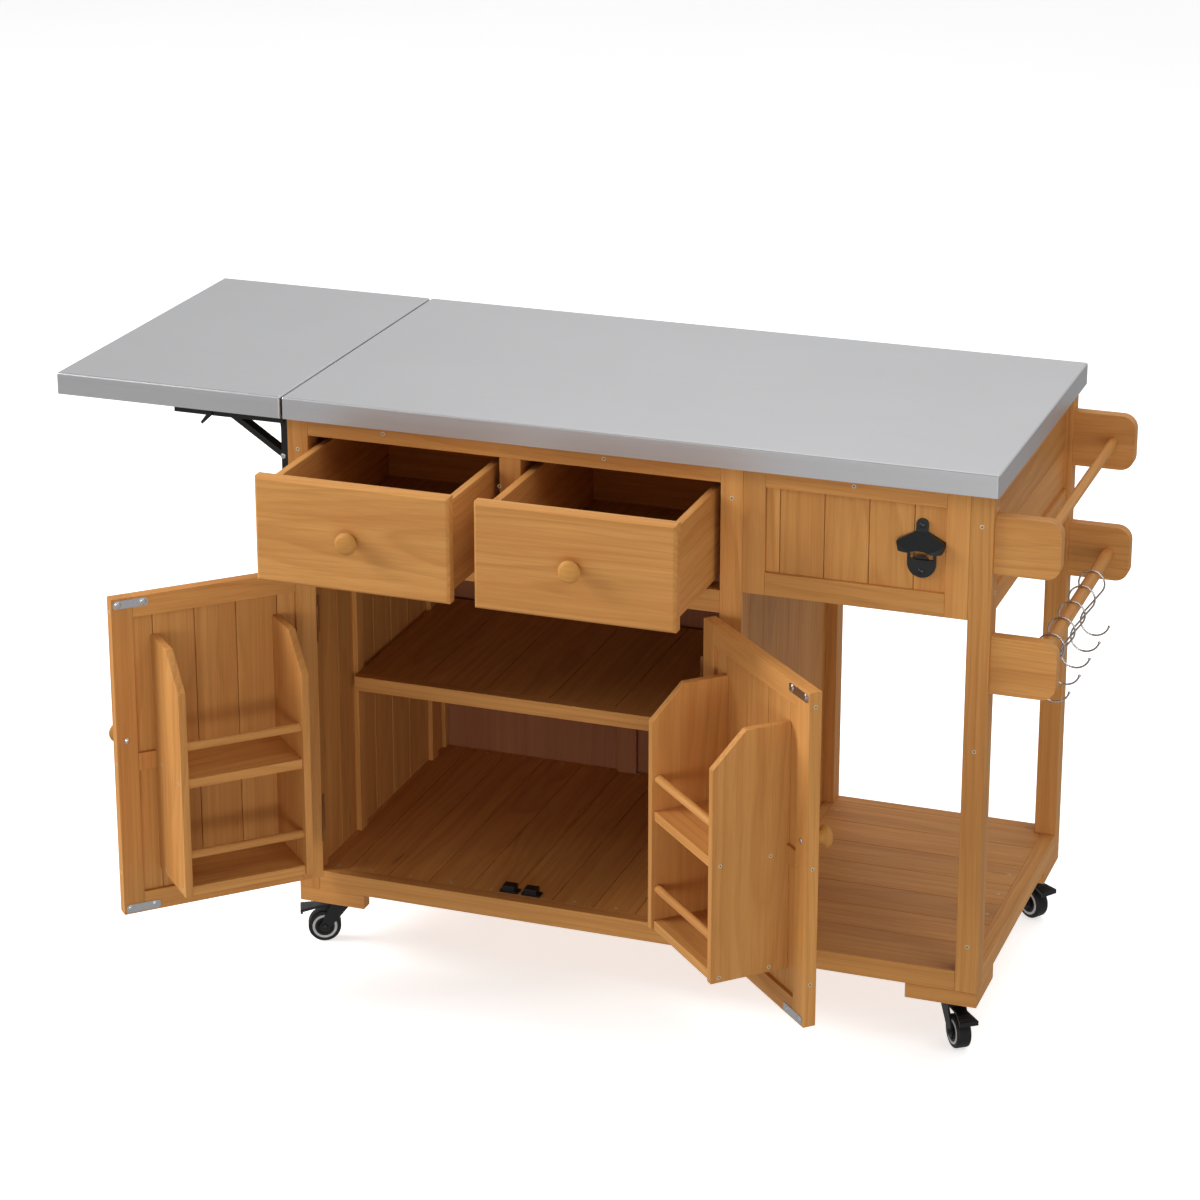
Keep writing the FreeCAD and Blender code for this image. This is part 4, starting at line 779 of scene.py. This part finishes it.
def all_pieces():
    """Dress every node: boards and fittings from their own solids, turned and bent pieces anew, then trim."""
    special = {f"s_hook_{n}" for n in HOOKS} | {f"caster_wheel_{c}" for c in CORNERS}
    special |= {f"door_{s}_hardware" for s in SIDES}
    special |= {f"{kind}_{s}_knob" for kind in ("door", "drawer") for s in SIDES}
    for node in frame["nodes"]:
        slot = SLOT_OF[node]
        if node in special:
            continue
        if slot in ("fir", "plywood"):
            boards(node)
        elif node == "door_hinges":
            dressed(node, HINGE_EDGE, HINGE_METAL)
        elif node == "bottle_opener":
            dressed(node, OPENER_EDGE)
        else:
            dressed(node, STEEL_EDGE if slot == "stainless" else FITTING_EDGE)
    for number in HOOKS:
        hook_piece(number)
    for corner in CORNERS:
        wheel_pieces(corner)
        axle_caps(corner)
        pedal_ribs(corner)
    for side in SIDES:
        door = Door(side)
        door_screws(door)
        knob_bolt(door)
        door_hardware(door)
        knob_piece(f"door_{side}_knob", door.out)
        knob_piece(f"drawer_{side}_knob", TO_FRONT)
        drawer_screws(side)
    bracket_rivets()
    frame_screws()
    floor_screws()
    opener_screws()


# Each light's place and aim, its power in watts and the width and height of its panel
LIGHTS = {
    "key": ((-4.4, -1.35, 3.2), (0, 0, 0.5), 240, 3.0, 2.4),
    "fill": ((3.2, -1.3, 4.2), (0, 0, 0.5), 34, 2.0, 2.0),
    "low": ((1.6, -4.8, 0.62), (0.3, 0, 0.45), 44, 3.2, 1.1),
    "glint": ((0.9, -3.0, 4.4), (0.5, 0, 0.7), 7, 1.6, 0.9),
    "top": ((0.5, 1.2, 4.0), (0.3, 0.2, 0.9), 62, 4.2, 3.4),
}
# Light of the surroundings: levels by height (0.5 is the horizon) and by depth (0 is in front, 1 behind)
FRONT_HEIGHT = ((0.495, 0.0), (0.505, 0.9), (0.54, 0.7), (0.59, 0.0))
FRONT_DEPTH = ((0.15, 1.0), (0.42, 0.0))
BACK_HEIGHT = ((0.495, 0.0), (0.505, 0.43), (0.7, 0.43), (0.8, 0.2))
BACK_DEPTH = ((0.55, 0.32), (1.0, 1.0))
GROUND_HEIGHT = ((0.495, 0.19), (0.505, 0.0))
SURROUND_STRENGTH = 2.25


def pale_floor():
    """A wide white floor that glows a little, so that it comes out as white as paper."""
    half = 30.0
    mesh = bpy.data.meshes.new("floor")
    corners = [(-half, -half, 0), (half, -half, 0), (half, half, 0), (-half, half, 0)]
    mesh.from_pydata(corners, [], [(0, 1, 2, 3)])
    s = Shader(bpy.data.materials.new("floor_paper"))
    cloud = s.noise(s.add("TexCoord").outputs["Object"], 0.8)
    body = s.mix(cloud, colour(0.92, 0.92, 0.92), colour(0.95, 0.95, 0.95))
    paper = s.finish(Base_Color=body, Roughness=0.9, Emission_Color=body, Emission_Strength=0.68)
    mesh.materials.append(paper)
    floor = bpy.data.objects.new("floor", mesh)
    floor.visible_diffuse = floor.visible_glossy = False
    bpy.context.scene.collection.objects.link(floor)


def surroundings():
    """Light from low in front, from a wall behind and from the ground."""
    s = Shader(bpy.data.worlds.new("studio"))
    bpy.context.scene.world = s.owner
    way = s.add("SeparateXYZ", Vector=s.add("TexCoord").outputs["Generated"])
    height, depth = (s.math("ADD", s.math("MULTIPLY", way.outputs[i], 0.5), 0.5) for i in (2, 1))
    low_front = s.math("MULTIPLY", s.ramp(height, FRONT_HEIGHT), s.ramp(depth, FRONT_DEPTH))
    back_wall = s.math("MULTIPLY", s.ramp(height, BACK_HEIGHT), s.ramp(depth, BACK_DEPTH))
    level = s.math("ADD", s.ramp(height, GROUND_HEIGHT), s.math("ADD", low_front, back_wall))
    sky = s.add("Background", Color=level, Strength=SURROUND_STRENGTH)
    s.add("OutputWorld", Surface=sky.outputs[0])


def area_light(name, at, aim, power, width, tall):
    data = bpy.data.lights.new(name, "AREA")
    data.shape = "RECTANGLE"
    data.size, data.size_y = width, tall
    data.energy = power
    lamp = bpy.data.objects.new(name, data)
    lamp.location = at
    lamp.rotation_euler = (Vector(aim) - Vector(at)).to_track_quat("-Z", "Y").to_euler()
    bpy.context.scene.collection.objects.link(lamp)


def photo_camera():
    """The photograph's camera, turned to the left of the cart's depth and down."""
    down, left = 0.30687, 0.34543
    data = bpy.data.cameras.new("camera")
    data.lens = 101.93
    data.sensor_width = 36.0
    data.shift_y = -0.15
    data.clip_end = 100
    camera = bpy.data.objects.new("camera", data)
    camera.location = (1.6929, -4.5742, 2.4196)
    camera.rotation_euler = (math.pi / 2 - down, 0, left)
    bpy.context.scene.collection.objects.link(camera)
    bpy.context.scene.camera = camera


def stage():
    """Pale floor, soft lights and the photograph's camera."""
    pale_floor()
    surroundings()
    for name, settings in LIGHTS.items():
        area_light(name, *settings)
    bpy.context.scene.view_settings.view_transform = "Standard"
    photo_camera()


all_pieces()
stage()
